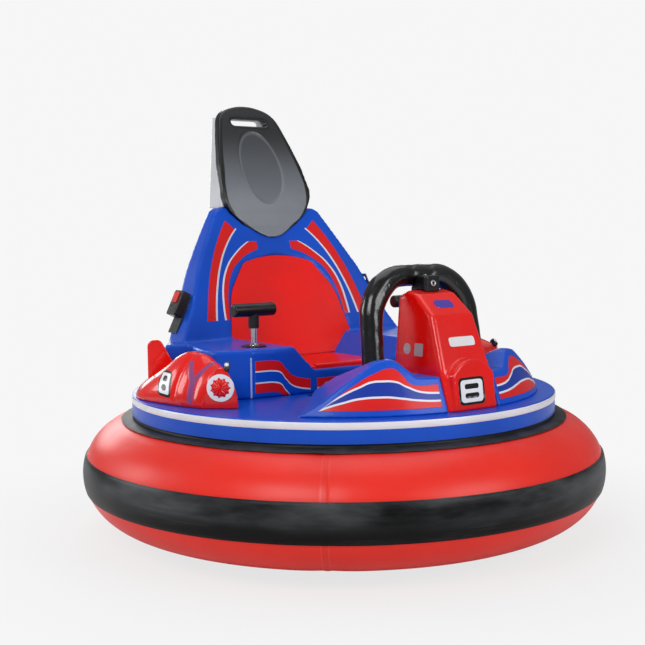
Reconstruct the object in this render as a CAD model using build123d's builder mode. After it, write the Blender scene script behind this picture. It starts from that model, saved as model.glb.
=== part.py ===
"""Inflatable mini bumper car for children, steered by two sticks.

Millimetres.  +X is forward, +Y is the driver's left, +Z is up, and the origin lies on the floor
under the centre of the round hull.
"""

from build123d import *
from math import asin, atan2, cos, degrees, radians, sin, sqrt, tan
import os

# ---------------------------------------------------------------- driving dimensions
SEAT_GAP = 0.3            # clearance where curved pieces lie against each other
FIT_GAP = 0.05            # radial clearance of a running shaft
SIDES = {"left": 1, "right": -1}

# inflated tube
overall_r = 600           # half the width of the whole car
band_t = 2.2              # wear band
band_half_h = 41
tube_section_r = 118
tube_wall = 4
tube_z = 150
tube_r = overall_r - band_t - SEAT_GAP - tube_section_r

# skirt between the tube and the hull
skirt_t = 3
skirt_outer_r = tube_r + 33.5
skirt_lip_t = 4
skirt_lip_h = 28

# deck pan
deck_r = tube_r + 7
deck_bottom_z = 277.5
deck_z = 322              # top of the deck flange
deck_wall = 4
deck_edge_r = 3
hull_r = 448              # foot of the mouldings that stand on the deck
hull_lean = 0.38          # how far they lean in for each millimetre of height
strip_h = 11
strip_t = 1.2
strip_drop = 1            # top of the strip below the deck's top

# foot well and its mat
well_x0, well_x1 = 46, 240
well_half_w = 150
well_depth = 58
well_corner_r = 30
mat_t = 4
mat_margin = 12

# front console
console_half_w = 68
console_straight_z = 400
console_back_x = 268
console_profile = [       # x, z up the nose and over the top
    (444, deck_z),
    (418, 408),
    (379, 511),
    (327, 553),
    (296, 560),
]
console_top_half_w = 54
console_edge_r = 9
console_back_drop = 12    # fall of the top edge between the profile's end and the back face
pod_half_w = 56           # number pod on the console's foot
pod_top_z = 424
pod_arch_h = 31
pod_front_x = 449
pod_wall_lean = 0.12

# front fenders
fender_inner_r = 288
fender_mid_angle = 28
fender_ridge_t = 18       # the ridge's thickness at its crest
fender_shelf_t = 106      # from the crest's outer edge to the foot of the slope behind it
fender_shelf_z = 385      # foot of that slope, where the grab bar stands
fender_profile = [        # angle from straight ahead, height of the top edge
    (3, 391),
    (16.5, 393),
    (21.5, 424),
    (24, 430),
    (28, 425),
    (36.7, 383),
    (42.8, 349),
    (48.5, 322.5),
]
fender_round = [20, 12, 10, 12, 60, 60]   # rounding of the corners between the two ends

# grab bar
bar_r = 24
bar_foot_x, bar_foot_y, bar_foot_z = 292, 141, 396
bar_top_x, bar_top_z = 264, 590
bar_shoulder_y = 128      # half width of the arch's crown before its corners are rounded
bar_bend_r = 90
clamp_w = 44
clamp_l = 50
clamp_ahead = 29
clamp_sink = 20
clamp_edge_r = 8

# seat
riser_x = 35              # front face of the seat pedestal
riser_bow = 9
pedestal_half_w = 270
arm_z = 430
arm_inner_y = 163
arm_edge_r = 7
arm_edge_rear_x = -85     # the armrests' edges are rounded ahead of here
pedestal_wall = 5
flank_r = 350             # sides of the pedestal, behind the pods
pan_half_w = 110
pan_z = 374
pan_t = 6
pan_margin = 4
pan_corner_r = 12
back_foot = (-190, 370)   # x, z on the front face of the seat back
back_recline = 18.5
back_top_z = 745
back_rear_foot_x = -400
back_rear_knee_z = 470
back_rear_top_x = -352
back_round_taper = 6
back_scoop_r = 1800       # hollow curve of the seat back, from wing to wing
back_wing_reach = 45
back_outline = [          # half width, z, corner radius
    (322, arm_z, 0),
    (311, 450, 10),
    (275, 514, 45),
    (240, 595, 45),
    (186, 686, 45),
    (150, back_top_z, 30),
]
liner_t = 6
liner_outline = [         # half width, z
    (190, pan_z + pan_t),
    (178, 425),
    (155, 537),
    (101, 608),
]
liner_top_z = 625
liner_top_corner_r = 30
liner_side_corner_r = 120

# headrest
plate_t = 22
plate_top_z = 1008
plate_profile = [         # x, z of the front face
    (-292, 672),
    (-300, 700),
    (-305, 790),
    (-413, plate_top_z),
]
plate_outline = [         # half width, z from the tip upwards
    (20, 672),
    (78, 703),
    (116, 736),
    (132, 776),
    (123, 850),
    (107.5, plate_top_z - 98),
    (94.5, plate_top_z - 56),
    (83, plate_top_z - 24),
]
plate_top_corner_r = 18
plate_corner_r = 60
slot_half_w = 53
slot_z = plate_top_z - 44
slot_h = 17
oval_half_w = 62
oval_half_h = 92
oval_z = 850
oval_depth = 2.5
housing_depth = 66
housing_top_depth = 26
housing_half_w = 125
housing_top_half_w = 78
housing_z0, housing_z1 = back_top_z, plate_top_z - 30

# side pods and fins
pod_front = ((131, 369), (86, 422))   # x, y of the inner and outer foot of its front face
pod_front_h = 89
pod_rear_angle = 118
pod_sections = [          # angle from straight ahead, radius of the outer foot, height
    (84, 442, 101),
    (92, 454, 110),
    (98, 467, 98),
    (pod_rear_angle, 473, 50),
]
# arches of the pods: share of the width from the inner foot, share of the height
pod_front_arch = [(0.14, 0.62), (0.50, 1.0), (0.86, 0.62)]
pod_arch = [(0.04, 0.62), (0.42, 1.0), (0.82, 0.66)]
pod_overlap = 5           # how far the pods start inside the flank's radius before they are cut to it
fin_t = 9
fin_r0, fin_r1 = 396, 451
fin_top_z = 446
fin_shoulder = (422, 398)  # inner end of the flat top, height where the inner edge starts to lean
fin_tip_r = 15
fin_angle = 112.5

# steering sticks
stick_x = -25
stick_y = 228
stick_r = 7
ball_r = 12
ball_z = arm_z - 2
socket_r = 27
socket_edge_r = 3
socket_lip = 5            # top of the socket above the ball's centre
socket_depth = 18         # how far the socket is let into the armrest
handle_z = 512
handle_l = 108
handle_r = 15
handle_neck_r = 12
handle_neck_h = 26

# seat belt
belt_w = 38
belt_t = 2.5
belt_x = -248
belt_strap_l = {"left": 112, "right": 68}
buckle_w, buckle_l, buckle_t = 40, 62, 24
button_w, button_l, button_t = 22, 26, 3
tongue_w, tongue_l, tongue_t = 26, 46, 2.5
tongue_grip_l = 24
tongue_slot_w, tongue_slot_l = 12, 10

# chassis
pan_bottom_z = 100
chassis_t = 3
rim_angles = (190, 232)   # where the pan's rim cradles the tube, round the tube's section
rail = 25
post_places = [           # x, y of each pair of posts
    (240, 212),
    (-285, 170),
]
rail_y = 45

# drive wheels
wheel_r = 80
wheel_w = 45
wheel_y = 265
rim_r = 52
rim_t = 6
rim_dish = 16
hub_r = 18
stub_r = 8
stub_end_gap = 2
wheel_slot_gap = 10
wheel_edge_r = 8
gearbox_w = 36
gearbox_l = 64
gearbox_top_z = 175
gearbox_bottom_z = 62
gearbox_gap = 8           # between gearbox and tyre
foot_l = 120
foot_t = 6
motor_r = 32
motor_l = 130

# battery
battery_l, battery_w, battery_h = 180, 160, 165
battery_x = -180

# castors
castor_x = 250
castor_r = 37.5
castor_w = 24
castor_trail = 25
castor_plate_size = 80
castor_plate_t = 3
castor_boss_r = 20
castor_boss_h = 11
castor_fork_t = 3
castor_fork_gap = 3
castor_fork_half_w = 12   # half the fork's width round the axle
king_pin_r = 6
castor_axle_r = 5
castor_head_gap = 0.5

# sockets
charge_flange_r = 18
charge_flange_t = 3
charge_body_r = 13
charge_body_l = 22
charge_bore_r = 6
charge_bore_l = 18
charge_z = 372
valve_r = 24
valve_h = 7
valve_angle = 38

pieces = {}


def tube_point(angle, radius):
    """A point at an angle round the tube's section, in the XZ half plane."""
    return (tube_r + radius * cos(radians(angle)), tube_z + radius * sin(radians(angle)))


def hull_radius(z):
    """Radius of the leaning outer skin that the mouldings on the deck share."""
    return hull_r - (z - deck_z) * hull_lean


def tube_cover(first, last, thickness):
    """Section of a sheet that lies round the tube between two angles."""
    inner = tube_section_r + SEAT_GAP
    outer = inner + thickness
    middle = (first + last) / 2
    with BuildSketch() as cover:
        with BuildLine():
            ThreePointArc(tube_point(first, inner), tube_point(middle, inner), tube_point(last, inner))
            Line(tube_point(last, inner), tube_point(last, outer))
            ThreePointArc(tube_point(last, outer), tube_point(middle, outer), tube_point(first, outer))
            Line(tube_point(first, outer), tube_point(first, inner))
        make_face()
    return cover.sketch


# ---------------------------------------------------------------- tube
with BuildPart() as bumper_tube:
    with BuildSketch(Plane.XZ):
        with Locations((tube_r, tube_z)):
            Circle(tube_section_r)
            Circle(tube_section_r - tube_wall, mode=Mode.SUBTRACT)
    revolve(axis=Axis.Z)
pieces["bumper_tube"] = bumper_tube

band_angle = degrees(asin(band_half_h / (tube_section_r + SEAT_GAP + band_t)))
with BuildPart() as wear_band:
    with BuildSketch(Plane.XZ):
        add(tube_cover(-band_angle, band_angle, band_t))
    revolve(axis=Axis.Z)
pieces["wear_band"] = wear_band

skirt_angle = degrees(atan2(sqrt((tube_section_r + SEAT_GAP) ** 2 - (skirt_outer_r - tube_r) ** 2),
                            skirt_outer_r - tube_r))
skirt_lip_r = deck_r - deck_wall
skirt_lip_z = tube_z + tube_section_r + SEAT_GAP + skirt_t / 2
with BuildPart() as tube_skirt:
    with BuildSketch(Plane.XZ):
        add(tube_cover(skirt_angle, 180 - skirt_angle, skirt_t))
        with Locations((skirt_lip_r - skirt_lip_t / 2, skirt_lip_z + skirt_lip_h / 2)):
            Rectangle(skirt_lip_t, skirt_lip_h)
    revolve(axis=Axis.Z)
pieces["tube_skirt"] = tube_skirt

valve_mouth = Plane(
    origin=(-tube_point(valve_angle, tube_section_r)[0], 0, tube_point(valve_angle, tube_section_r)[1]),
    x_dir=(0, 1, 0),
    z_dir=(-cos(radians(valve_angle)), 0, sin(radians(valve_angle))),
)
with BuildPart() as tube_valve:
    with BuildSketch(valve_mouth.offset(SEAT_GAP)):
        Circle(valve_r)
    extrude(amount=valve_h)
    fillet(tube_valve.edges().group_by(SortBy.LENGTH)[-1], valve_h / 4)
pieces["tube_valve"] = tube_valve

# ---------------------------------------------------------------- deck
floor_under = deck_z - deck_wall
well_x = (well_x0 + well_x1) / 2
well_l = well_x1 - well_x0
with BuildPart() as deck_pan:
    with BuildSketch(Plane.XZ):
        with BuildLine():
            Polyline(
                (0, floor_under),
                (deck_r - deck_wall, floor_under),
                (deck_r - deck_wall, deck_bottom_z),
                (deck_r, deck_bottom_z),
                (deck_r, deck_z),
                (0, deck_z),
                close=True,
            )
        make_face()
    revolve(axis=Axis.Z)
    rim_edge = deck_pan.edges().filter_by(GeomType.CIRCLE).group_by(Axis.Z)[-1].sort_by(SortBy.RADIUS)[-1]
    fillet(rim_edge, deck_edge_r)
    with BuildSketch(Plane.XY.offset(deck_z)):
        with Locations((well_x, 0)):
            RectangleRounded(well_l + 2 * deck_wall, 2 * (well_half_w + deck_wall), well_corner_r + deck_wall)
    extrude(amount=-(well_depth + deck_wall))
    with BuildSketch(Plane.XY.offset(deck_z)):
        with Locations((well_x, 0)):
            RectangleRounded(well_l, 2 * well_half_w, well_corner_r)
    extrude(amount=-well_depth, mode=Mode.SUBTRACT)
pieces["deck_pan"] = deck_pan

with BuildPart() as trim_strip:
    with BuildSketch(Plane.XY.offset(deck_z - deck_edge_r - strip_drop - strip_h)):
        Circle(deck_r + strip_t)
        Circle(deck_r, mode=Mode.SUBTRACT)
    extrude(amount=strip_h)
pieces["trim_strip"] = trim_strip

with BuildPart() as floor_mat:
    with BuildSketch(Plane.XY.offset(deck_z - well_depth)):
        with Locations((well_x, 0)):
            RectangleRounded(well_l - 2 * mat_margin, 2 * (well_half_w - mat_margin), well_corner_r - mat_margin)
    extrude(amount=mat_t)
pieces["floor_mat"] = floor_mat

# ---------------------------------------------------------------- front console
nose_x0 = console_profile[0][0]
top_z = max(z for x, z in console_profile)
with BuildPart() as front_console:
    with BuildSketch(Plane.XZ):
        with BuildLine():
            Polyline(*console_profile, (console_back_x, console_profile[-1][1] - console_back_drop),
                     (console_back_x, deck_z), close=True)
        make_face()
    extrude(amount=console_half_w, both=True)
    with BuildSketch(Plane.YZ):
        with BuildLine():
            Polyline(
                (-console_half_w, deck_z),
                (console_half_w, deck_z),
                (console_half_w, console_straight_z),
                (console_top_half_w, top_z),
                (-console_top_half_w, top_z),
                (-console_half_w, console_straight_z),
                close=True,
            )
        make_face()
    extrude(amount=nose_x0 + console_half_w, mode=Mode.INTERSECT)
    upper = front_console.edges().filter_by(lambda edge: edge.center().Z > deck_z + 1)
    fillet(upper, console_edge_r)
pieces["front_console"] = front_console

# The pod is an upright arch whose back follows the nose of the console.
pod_arch_z = pod_top_z - pod_arch_h
with BuildPart() as number_pod:
    with BuildSketch(Plane.YZ.offset(console_back_x + console_edge_r)):
        with BuildLine():
            Polyline((-pod_half_w, pod_arch_z), (-pod_half_w, deck_z), (pod_half_w, deck_z),
                     (pod_half_w, pod_arch_z))
            ThreePointArc((pod_half_w, pod_arch_z), (0, pod_top_z), (-pod_half_w, pod_arch_z))
        make_face()
    extrude(amount=pod_front_x - console_back_x - console_edge_r)
    with BuildSketch(Plane.XZ):
        with BuildLine():
            Polyline(
                *console_profile[:3],
                (pod_front_x, console_profile[2][1]),
                (pod_front_x - pod_wall_lean * (pod_top_z - deck_z), pod_top_z),
                (pod_front_x, deck_z),
                close=True,
            )
        make_face()
    extrude(amount=pod_half_w, both=True, mode=Mode.INTERSECT)
pieces["number_pod"] = number_pod

# ---------------------------------------------------------------- grab bar
# The arch lies in a plane that leans back; its own coordinates are across and up the lean.
bar_rise = sqrt((bar_top_z - bar_foot_z) ** 2 + (bar_foot_x - bar_top_x) ** 2)
bar_up = Vector(bar_top_x - bar_foot_x, 0, bar_top_z - bar_foot_z).normalized()
bar_plane = Plane(origin=(bar_foot_x, 0, bar_foot_z), x_dir=(0, 1, 0), z_dir=Vector(0, 1, 0).cross(bar_up))
with BuildPart() as grab_bar:
    with BuildLine(bar_plane) as bar_path:
        FilletPolyline(
            (-bar_foot_y, 0),
            (-bar_shoulder_y, bar_rise),
            (bar_shoulder_y, bar_rise),
            (bar_foot_y, 0),
            radius=bar_bend_r,
        )
    with BuildSketch(Plane(origin=bar_path.line @ 0, z_dir=bar_path.line % 0)):
        Circle(bar_r)
    sweep()
pieces["grab_bar"] = grab_bar

# ---------------------------------------------------------------- front fenders
fender_top_z = max(z for angle, z in fender_profile)
fender_plane = Plane(
    origin=(0, 0, 0),
    x_dir=(-sin(radians(fender_mid_angle)), cos(radians(fender_mid_angle)), 0),
    z_dir=(cos(radians(fender_mid_angle)), sin(radians(fender_mid_angle)), 0),
)
fender_outline = []
for angle, z in fender_profile:
    along = hull_radius(z) * sin(radians(angle - fender_mid_angle))
    fender_outline.append((along, z))
with BuildPart() as front_fender_left:
    with BuildSketch(Plane.XZ):
        with BuildLine():
            Polyline(
                (fender_inner_r, deck_z),
                (hull_r, deck_z),
                (hull_radius(fender_top_z), fender_top_z),
                (hull_radius(fender_top_z) - fender_ridge_t, fender_top_z),
                (hull_radius(fender_top_z) - fender_shelf_t, fender_shelf_z),
                close=True,
            )
        make_face()
    revolve(axis=Axis.Z, revolution_arc=fender_profile[-1][0])
    with BuildSketch(fender_plane):
        with BuildLine():
            FilletPolyline(
                *fender_outline,
                (fender_outline[-1][0], deck_z),
                (fender_outline[0][0], deck_z),
                radius=[0] + fender_round + [0, 0, 0],
                close=True,
            )
        make_face()
    extrude(amount=hull_r, mode=Mode.INTERSECT)
    with Locations((hull_r / 2, 0, deck_z)):
        Box(hull_r, 2 * console_half_w, fender_top_z, mode=Mode.SUBTRACT)
    add(grab_bar.part, mode=Mode.SUBTRACT)
with BuildPart() as front_fender_right:
    mirror(front_fender_left.part, about=Plane.XZ)
pieces["front_fender_left"] = front_fender_left
pieces["front_fender_right"] = front_fender_right

# The clamp is a block on the console's top that the bar's crown rests in.
clamp_foot_z = console_profile[-1][1] - clamp_sink
with BuildPart() as bar_clamp:
    with BuildSketch(Plane.XY.offset(clamp_foot_z)):
        with Locations((bar_top_x + clamp_ahead, 0)):
            RectangleRounded(clamp_l, clamp_w, clamp_edge_r)
    extrude(amount=bar_top_z - clamp_foot_z)
    add(front_console.part, mode=Mode.SUBTRACT)
    with Locations(Plane(origin=(bar_top_x, 0, bar_top_z), z_dir=(0, 1, 0))):
        Cylinder(bar_r + SEAT_GAP, clamp_w, mode=Mode.SUBTRACT)
pieces["bar_clamp"] = bar_clamp

# ---------------------------------------------------------------- charging socket
# A flanged socket let into the leaning rear skin; its blind bore takes the charger's plug.
charge_plane = Plane(
    origin=(-hull_radius(charge_z), 0, charge_z),
    x_dir=(0, 1, 0),
    z_dir=(-1, 0, hull_lean),
)
with BuildPart() as charge_socket:
    with BuildSketch(charge_plane):
        Circle(charge_flange_r)
    extrude(amount=charge_flange_t)
    with BuildSketch(charge_plane):
        Circle(charge_body_r)
    extrude(amount=-charge_body_l)
    with BuildSketch(charge_plane.offset(charge_flange_t)):
        Circle(charge_bore_r)
    extrude(amount=-charge_bore_l, mode=Mode.SUBTRACT)
pieces["charge_socket"] = charge_socket

# ---------------------------------------------------------------- seat pedestal
recline = tan(radians(back_recline))


def back_x(z):
    """Front face of the reclined seat back."""
    return back_foot[0] - (z - back_foot[1]) * recline


def mirrored(points):
    """A closed outline from its right half, which is given as half width and height."""
    return [(y, z) for y, z in points] + [(-y, z) for y, z in reversed(points)]


channel_end_x = back_x(arm_z) - liner_t
corner_x, corner_y = riser_x, pedestal_half_w
flank_x = 5
flank_y = sqrt(flank_r ** 2 - flank_x ** 2)
flank_end = (flank_r * cos(radians(pod_rear_angle)), flank_r * sin(radians(pod_rear_angle)))
flank_mid = (flank_r * cos(radians((90 + pod_rear_angle) / 2)), flank_r * sin(radians((90 + pod_rear_angle) / 2)))
with BuildPart() as seat_pedestal:
    with BuildSketch(Plane.XY.offset(deck_z)):
        with BuildLine():
            ThreePointArc((corner_x, corner_y), (riser_x + riser_bow, 0), (corner_x, -corner_y))
            Line((corner_x, -corner_y), (flank_x, -flank_y))
            ThreePointArc((flank_x, -flank_y), (flank_mid[0], -flank_mid[1]), (flank_end[0], -flank_end[1]))
            Line((flank_end[0], -flank_end[1]), flank_end)
            ThreePointArc(flank_end, flank_mid, (flank_x, flank_y))
            Line((flank_x, flank_y), (corner_x, corner_y))
        make_face()
    extrude(amount=arm_z - deck_z)
    rear_plane = Plane(
        origin=(0, 0, 0),
        x_dir=(cos(radians(pod_rear_angle)), sin(radians(pod_rear_angle)), 0),
        z_dir=(sin(radians(pod_rear_angle)), -cos(radians(pod_rear_angle)), 0),
    )
    with BuildSketch(rear_plane):
        with BuildLine():
            Polyline((0, deck_z), (hull_r, deck_z), (hull_radius(arm_z), arm_z), (0, arm_z), close=True)
        make_face()
    revolve(axis=Axis.Z, revolution_arc=360 - 2 * pod_rear_angle)
    with BuildSketch(Plane.XY.offset(deck_z)):
        Circle(flank_r - pedestal_wall)
        with Locations((overall_r, 0)):
            Rectangle(2 * overall_r, 2 * overall_r, mode=Mode.SUBTRACT)
    extrude(amount=pan_z - pedestal_wall - deck_z, mode=Mode.SUBTRACT)
    with BuildSketch(Plane.YZ.offset(riser_x + 2 * riser_bow)):
        with BuildLine():
            Polyline(
                (-arm_inner_y, arm_z),
                (-pan_half_w, pan_z),
                (pan_half_w, pan_z),
                (arm_inner_y, arm_z),
                close=True,
            )
        make_face()
    extrude(amount=-(riser_x + 2 * riser_bow - channel_end_x), mode=Mode.SUBTRACT)
    arm_edges = seat_pedestal.edges().filter_by(
        lambda edge: edge.center().Z > arm_z - 1 and edge.center().X > arm_edge_rear_x
        and abs(edge.center().Y) > pan_half_w)
    fillet(arm_edges, arm_edge_r)
    with Locations(*[(stick_x, sign * stick_y, arm_z) for sign in SIDES.values()]):
        Cylinder(socket_r, socket_depth, align=(Align.CENTER, Align.CENTER, Align.MAX), mode=Mode.SUBTRACT)
    with BuildSketch(charge_plane):
        Circle(charge_body_r)
    extrude(amount=-charge_body_l, mode=Mode.SUBTRACT)
    with BuildSketch(charge_plane):
        Circle(charge_flange_r)
    extrude(amount=charge_flange_t, mode=Mode.SUBTRACT)
pieces["seat_pedestal"] = seat_pedestal

pan_x1 = riser_x - pan_margin
pan_x0 = back_x(pan_z) + pan_margin
with BuildPart() as seat_pan:
    with BuildSketch(Plane.XY.offset(pan_z)):
        with Locations(((pan_x0 + pan_x1) / 2, 0)):
            RectangleRounded(pan_x1 - pan_x0, 2 * (pan_half_w - pan_margin), pan_corner_r)
    extrude(amount=pan_t)
    fillet(seat_pan.faces().sort_by(Axis.Z)[-1].edges(), pan_t / 3)
pieces["seat_pan"] = seat_pan

# ---------------------------------------------------------------- headrest
plate_x = [x for x, z in plate_profile]
with BuildPart() as oval_recess:
    with BuildSketch(Plane.XZ):
        with BuildLine():
            Polyline(
                *plate_profile,
                *[(x - oval_depth, z) for x, z in reversed(plate_profile)],
                close=True,
            )
        make_face()
    extrude(amount=oval_half_w, both=True)
    with BuildSketch(Plane.YZ):
        with Locations((0, oval_z)):
            Ellipse(oval_half_w, oval_half_h)
    extrude(amount=plate_x[-1] - plate_t, mode=Mode.INTERSECT)

with BuildPart() as headrest_plate:
    with BuildSketch(Plane.XZ):
        with BuildLine():
            Polyline(
                *plate_profile,
                *[(x - plate_t, z) for x, z in reversed(plate_profile)],
                close=True,
            )
        make_face()
    extrude(amount=plate_outline[3][0], both=True)
    with BuildSketch(Plane.YZ) as plate_face:
        with BuildLine():
            Polyline(*[(-y, z) for y, z in reversed(plate_outline)], *plate_outline)
            ThreePointArc(plate_outline[-1], (0, plate_top_z), (-plate_outline[-1][0], plate_outline[-1][1]))
        make_face()
        fillet(plate_face.vertices().filter_by(lambda corner: corner.Z > plate_outline[-2][1]), plate_top_corner_r)
        fillet(plate_face.vertices().filter_by(lambda corner: corner.Z < plate_outline[-2][1]), plate_corner_r)
    extrude(amount=plate_x[-1] - plate_t, mode=Mode.INTERSECT)
    add(oval_recess.part, mode=Mode.SUBTRACT)
    with BuildSketch(Plane.YZ):
        with Locations((0, slot_z)):
            SlotOverall(2 * slot_half_w, slot_h)
    extrude(amount=plate_x[-1] - plate_t, mode=Mode.SUBTRACT)
pieces["headrest_plate"] = headrest_plate


def plate_rear_x(z):
    """Rear face of the headrest plate."""
    for (x0, z0), (x1, z1) in zip(plate_profile, plate_profile[1:]):
        if z0 <= z <= z1:
            return x0 + (x1 - x0) * (z - z0) / (z1 - z0) - plate_t


# The housing is a box that tapers upwards behind the plate and shares the plate's rear face.
with BuildPart() as headrest_housing:
    with BuildSketch(Plane.XZ):
        with BuildLine():
            Polyline(
                (plate_rear_x(housing_z0), housing_z0),
                (plate_rear_x(plate_profile[2][1]), plate_profile[2][1]),
                (plate_rear_x(housing_z1), housing_z1),
                (plate_rear_x(housing_z1) - housing_top_depth, housing_z1),
                (plate_rear_x(housing_z0) - housing_depth, housing_z0),
                close=True,
            )
        make_face()
    extrude(amount=housing_half_w, both=True)
    with BuildSketch(Plane.YZ):
        with BuildLine():
            Polyline(
                (-housing_half_w, housing_z0),
                (housing_half_w, housing_z0),
                (housing_top_half_w, housing_z1),
                (-housing_top_half_w, housing_z1),
                close=True,
            )
        make_face()
    extrude(amount=plate_x[-1] - plate_t - housing_depth, mode=Mode.INTERSECT)
    with BuildSketch(Plane.YZ):
        with Locations((0, slot_z)):
            SlotOverall(2 * slot_half_w, slot_h)
    extrude(amount=plate_x[-1] - plate_t - housing_depth, mode=Mode.SUBTRACT)
pieces["headrest_housing"] = headrest_housing

# ---------------------------------------------------------------- seat liner and seat back
# The front of the seat back is hollowed by a wide cylinder; the liner is a sheet let into that hollow.
bed_plane = Plane(
    origin=(back_x(pan_z), 0, pan_z),
    x_dir=(0, 1, 0),
    z_dir=(cos(radians(back_recline)), 0, sin(radians(back_recline))),
)
scoop_plane = Plane(
    origin=bed_plane.origin + bed_plane.z_dir * back_scoop_r,
    x_dir=(0, 1, 0),
    z_dir=bed_plane.y_dir,
)
slope = cos(radians(back_recline))
bed = [(y, (z - pan_z) / slope) for y, z in liner_outline]
bed_top = (liner_top_z - pan_z) / slope
with BuildPart() as seat_liner:
    with BuildSketch(scoop_plane):
        Circle(back_scoop_r + liner_t)
        Circle(back_scoop_r, mode=Mode.SUBTRACT)
    extrude(amount=back_top_z, both=True)
    with BuildSketch(bed_plane) as bed_face:
        with BuildLine():
            Polyline(*[(-y, v) for y, v in reversed(bed)], *bed)
            ThreePointArc(bed[-1], (0, bed_top), (-bed[-1][0], bed[-1][1]))
        make_face()
        fillet(bed_face.vertices().group_by(Axis.Y)[-1], liner_top_corner_r)
        fillet(bed_face.vertices().group_by(Axis.Y)[2], liner_side_corner_r)
    extrude(amount=back_wing_reach, both=True, mode=Mode.INTERSECT)
    add(seat_pedestal.part, mode=Mode.SUBTRACT)
pieces["seat_liner"] = seat_liner

with BuildPart() as seat_back:
    with BuildSketch(Plane.XZ):
        with BuildLine():
            Polyline(
                (back_x(arm_z) + back_wing_reach, arm_z),
                (back_x(back_top_z) + back_wing_reach, back_top_z),
                (back_rear_top_x, back_top_z),
                (back_rear_foot_x, back_rear_knee_z),
                (back_rear_foot_x, arm_z),
                close=True,
            )
        make_face()
    extrude(amount=back_outline[0][0], both=True)
    with BuildSketch(Plane.YZ):
        with BuildLine():
            back_radii = [radius for y, z, radius in back_outline]
            FilletPolyline(
                *mirrored([(y, z) for y, z, radius in back_outline]),
                radius=back_radii + back_radii[::-1],
                close=True,
            )
        make_face()
    extrude(amount=back_rear_foot_x, mode=Mode.INTERSECT)
    with BuildSketch(Plane.XY.offset(arm_z)):
        Circle(hull_radius(arm_z))
    extrude(amount=back_top_z - arm_z, taper=back_round_taper, mode=Mode.INTERSECT)
    with BuildSketch(scoop_plane):
        Circle(back_scoop_r)
    extrude(amount=back_top_z, both=True, mode=Mode.SUBTRACT)
    add(seat_liner.part, mode=Mode.SUBTRACT)
    add(headrest_plate.part, mode=Mode.SUBTRACT)
pieces["seat_back"] = seat_back

# ---------------------------------------------------------------- side pods and fins


def pod_section(plane, inner, outer, height, arch_points=pod_arch):
    """An arch that stands on the deck between its two feet."""
    width = outer - inner
    with BuildSketch(plane) as arch:
        with BuildLine():
            Line((inner, 0), (outer, 0))
            Spline(
                (outer, 0),
                *[(inner + share * width, rise * height) for share, rise in reversed(arch_points)],
                (inner, 0),
            )
        make_face()
    return arch.sketch


front_inner, front_outer = [Vector(x, y, deck_z) for x, y in pod_front]
front_across = (front_outer - front_inner).normalized()
front_plane = Plane(origin=front_inner, x_dir=front_across, z_dir=front_across.cross(Vector(0, 0, 1)))
with BuildPart() as side_pod_left:
    add(pod_section(front_plane, 0, (front_outer - front_inner).length, pod_front_h, pod_front_arch))
    for angle, outer_r, height in pod_sections:
        out = Vector(cos(radians(angle)), sin(radians(angle)), 0)
        radial_plane = Plane(origin=(0, 0, deck_z), x_dir=out, z_dir=out.cross(Vector(0, 0, 1)))
        add(pod_section(radial_plane, flank_r - pod_overlap, outer_r, height))
    loft()
    with Locations((0, 0, deck_z)):
        Cylinder(flank_r, arm_z - deck_z, align=(Align.CENTER, Align.CENTER, Align.MIN), mode=Mode.SUBTRACT)
with BuildPart() as side_pod_right:
    mirror(side_pod_left.part, about=Plane.XZ)
pieces["side_pod_left"] = side_pod_left
pieces["side_pod_right"] = side_pod_right

# A fin is an upright blade that stands across the tail of its pod.
fin_out = Vector(cos(radians(fin_angle)), sin(radians(fin_angle)), 0)
fin_plane = Plane(origin=(0, 0, 0), x_dir=fin_out, z_dir=fin_out.cross(Vector(0, 0, 1)))
with BuildPart() as pod_fin_left:
    with BuildSketch(fin_plane):
        with BuildLine():
            FilletPolyline(
                (fin_r0, deck_z),
                (fin_r1, deck_z),
                (fin_r1, fin_top_z),
                (fin_shoulder[0], fin_top_z),
                (fin_r0, fin_shoulder[1]),
                radius=(0, 0, fin_tip_r, fin_tip_r, fin_tip_r),
                close=True,
            )
        make_face()
    extrude(amount=fin_t / 2, both=True)
    add(seat_pedestal.part, mode=Mode.SUBTRACT)
    add(side_pod_left.part, mode=Mode.SUBTRACT)
with BuildPart() as pod_fin_right:
    mirror(pod_fin_left.part, about=Plane.XZ)
pieces["pod_fin_left"] = pod_fin_left
pieces["pod_fin_right"] = pod_fin_right

# ---------------------------------------------------------------- steering sticks
for side, sign in SIDES.items():
    y = sign * stick_y
    with BuildPart() as stick_socket:
        with Locations((stick_x, y, arm_z - socket_depth)):
            Cylinder(socket_r, ball_z + socket_lip - arm_z + socket_depth, align=(Align.CENTER, Align.CENTER, Align.MIN))
        fillet(stick_socket.edges().filter_by(GeomType.CIRCLE).sort_by(Axis.Z)[-1], socket_edge_r)
        with Locations((stick_x, y, ball_z)):
            Sphere(ball_r + SEAT_GAP, mode=Mode.SUBTRACT)
    pieces[f"stick_socket_{side}"] = stick_socket

    stem_top = handle_z - handle_r
    with BuildPart() as stick_stem:
        with Locations((stick_x, y, ball_z)):
            Sphere(ball_r)
            Cylinder(stick_r, stem_top - ball_z, align=(Align.CENTER, Align.CENTER, Align.MIN))
    pieces[f"stick_stem_{side}"] = stick_stem

    with BuildPart() as stick_handle:
        with Locations(Plane(origin=(stick_x, y, handle_z), z_dir=(0, 1, 0))):
            Cylinder(handle_r, handle_l)
        fillet(stick_handle.edges().filter_by(GeomType.CIRCLE), handle_r / 3)
        with Locations((stick_x, y, handle_z)):
            Cylinder(handle_neck_r, handle_neck_h + handle_r, align=(Align.CENTER, Align.CENTER, Align.MAX))
            Cylinder(stick_r, handle_neck_h + handle_r, align=(Align.CENTER, Align.CENTER, Align.MAX),
                     mode=Mode.SUBTRACT)
    pieces[f"stick_handle_{side}"] = stick_handle

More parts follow.
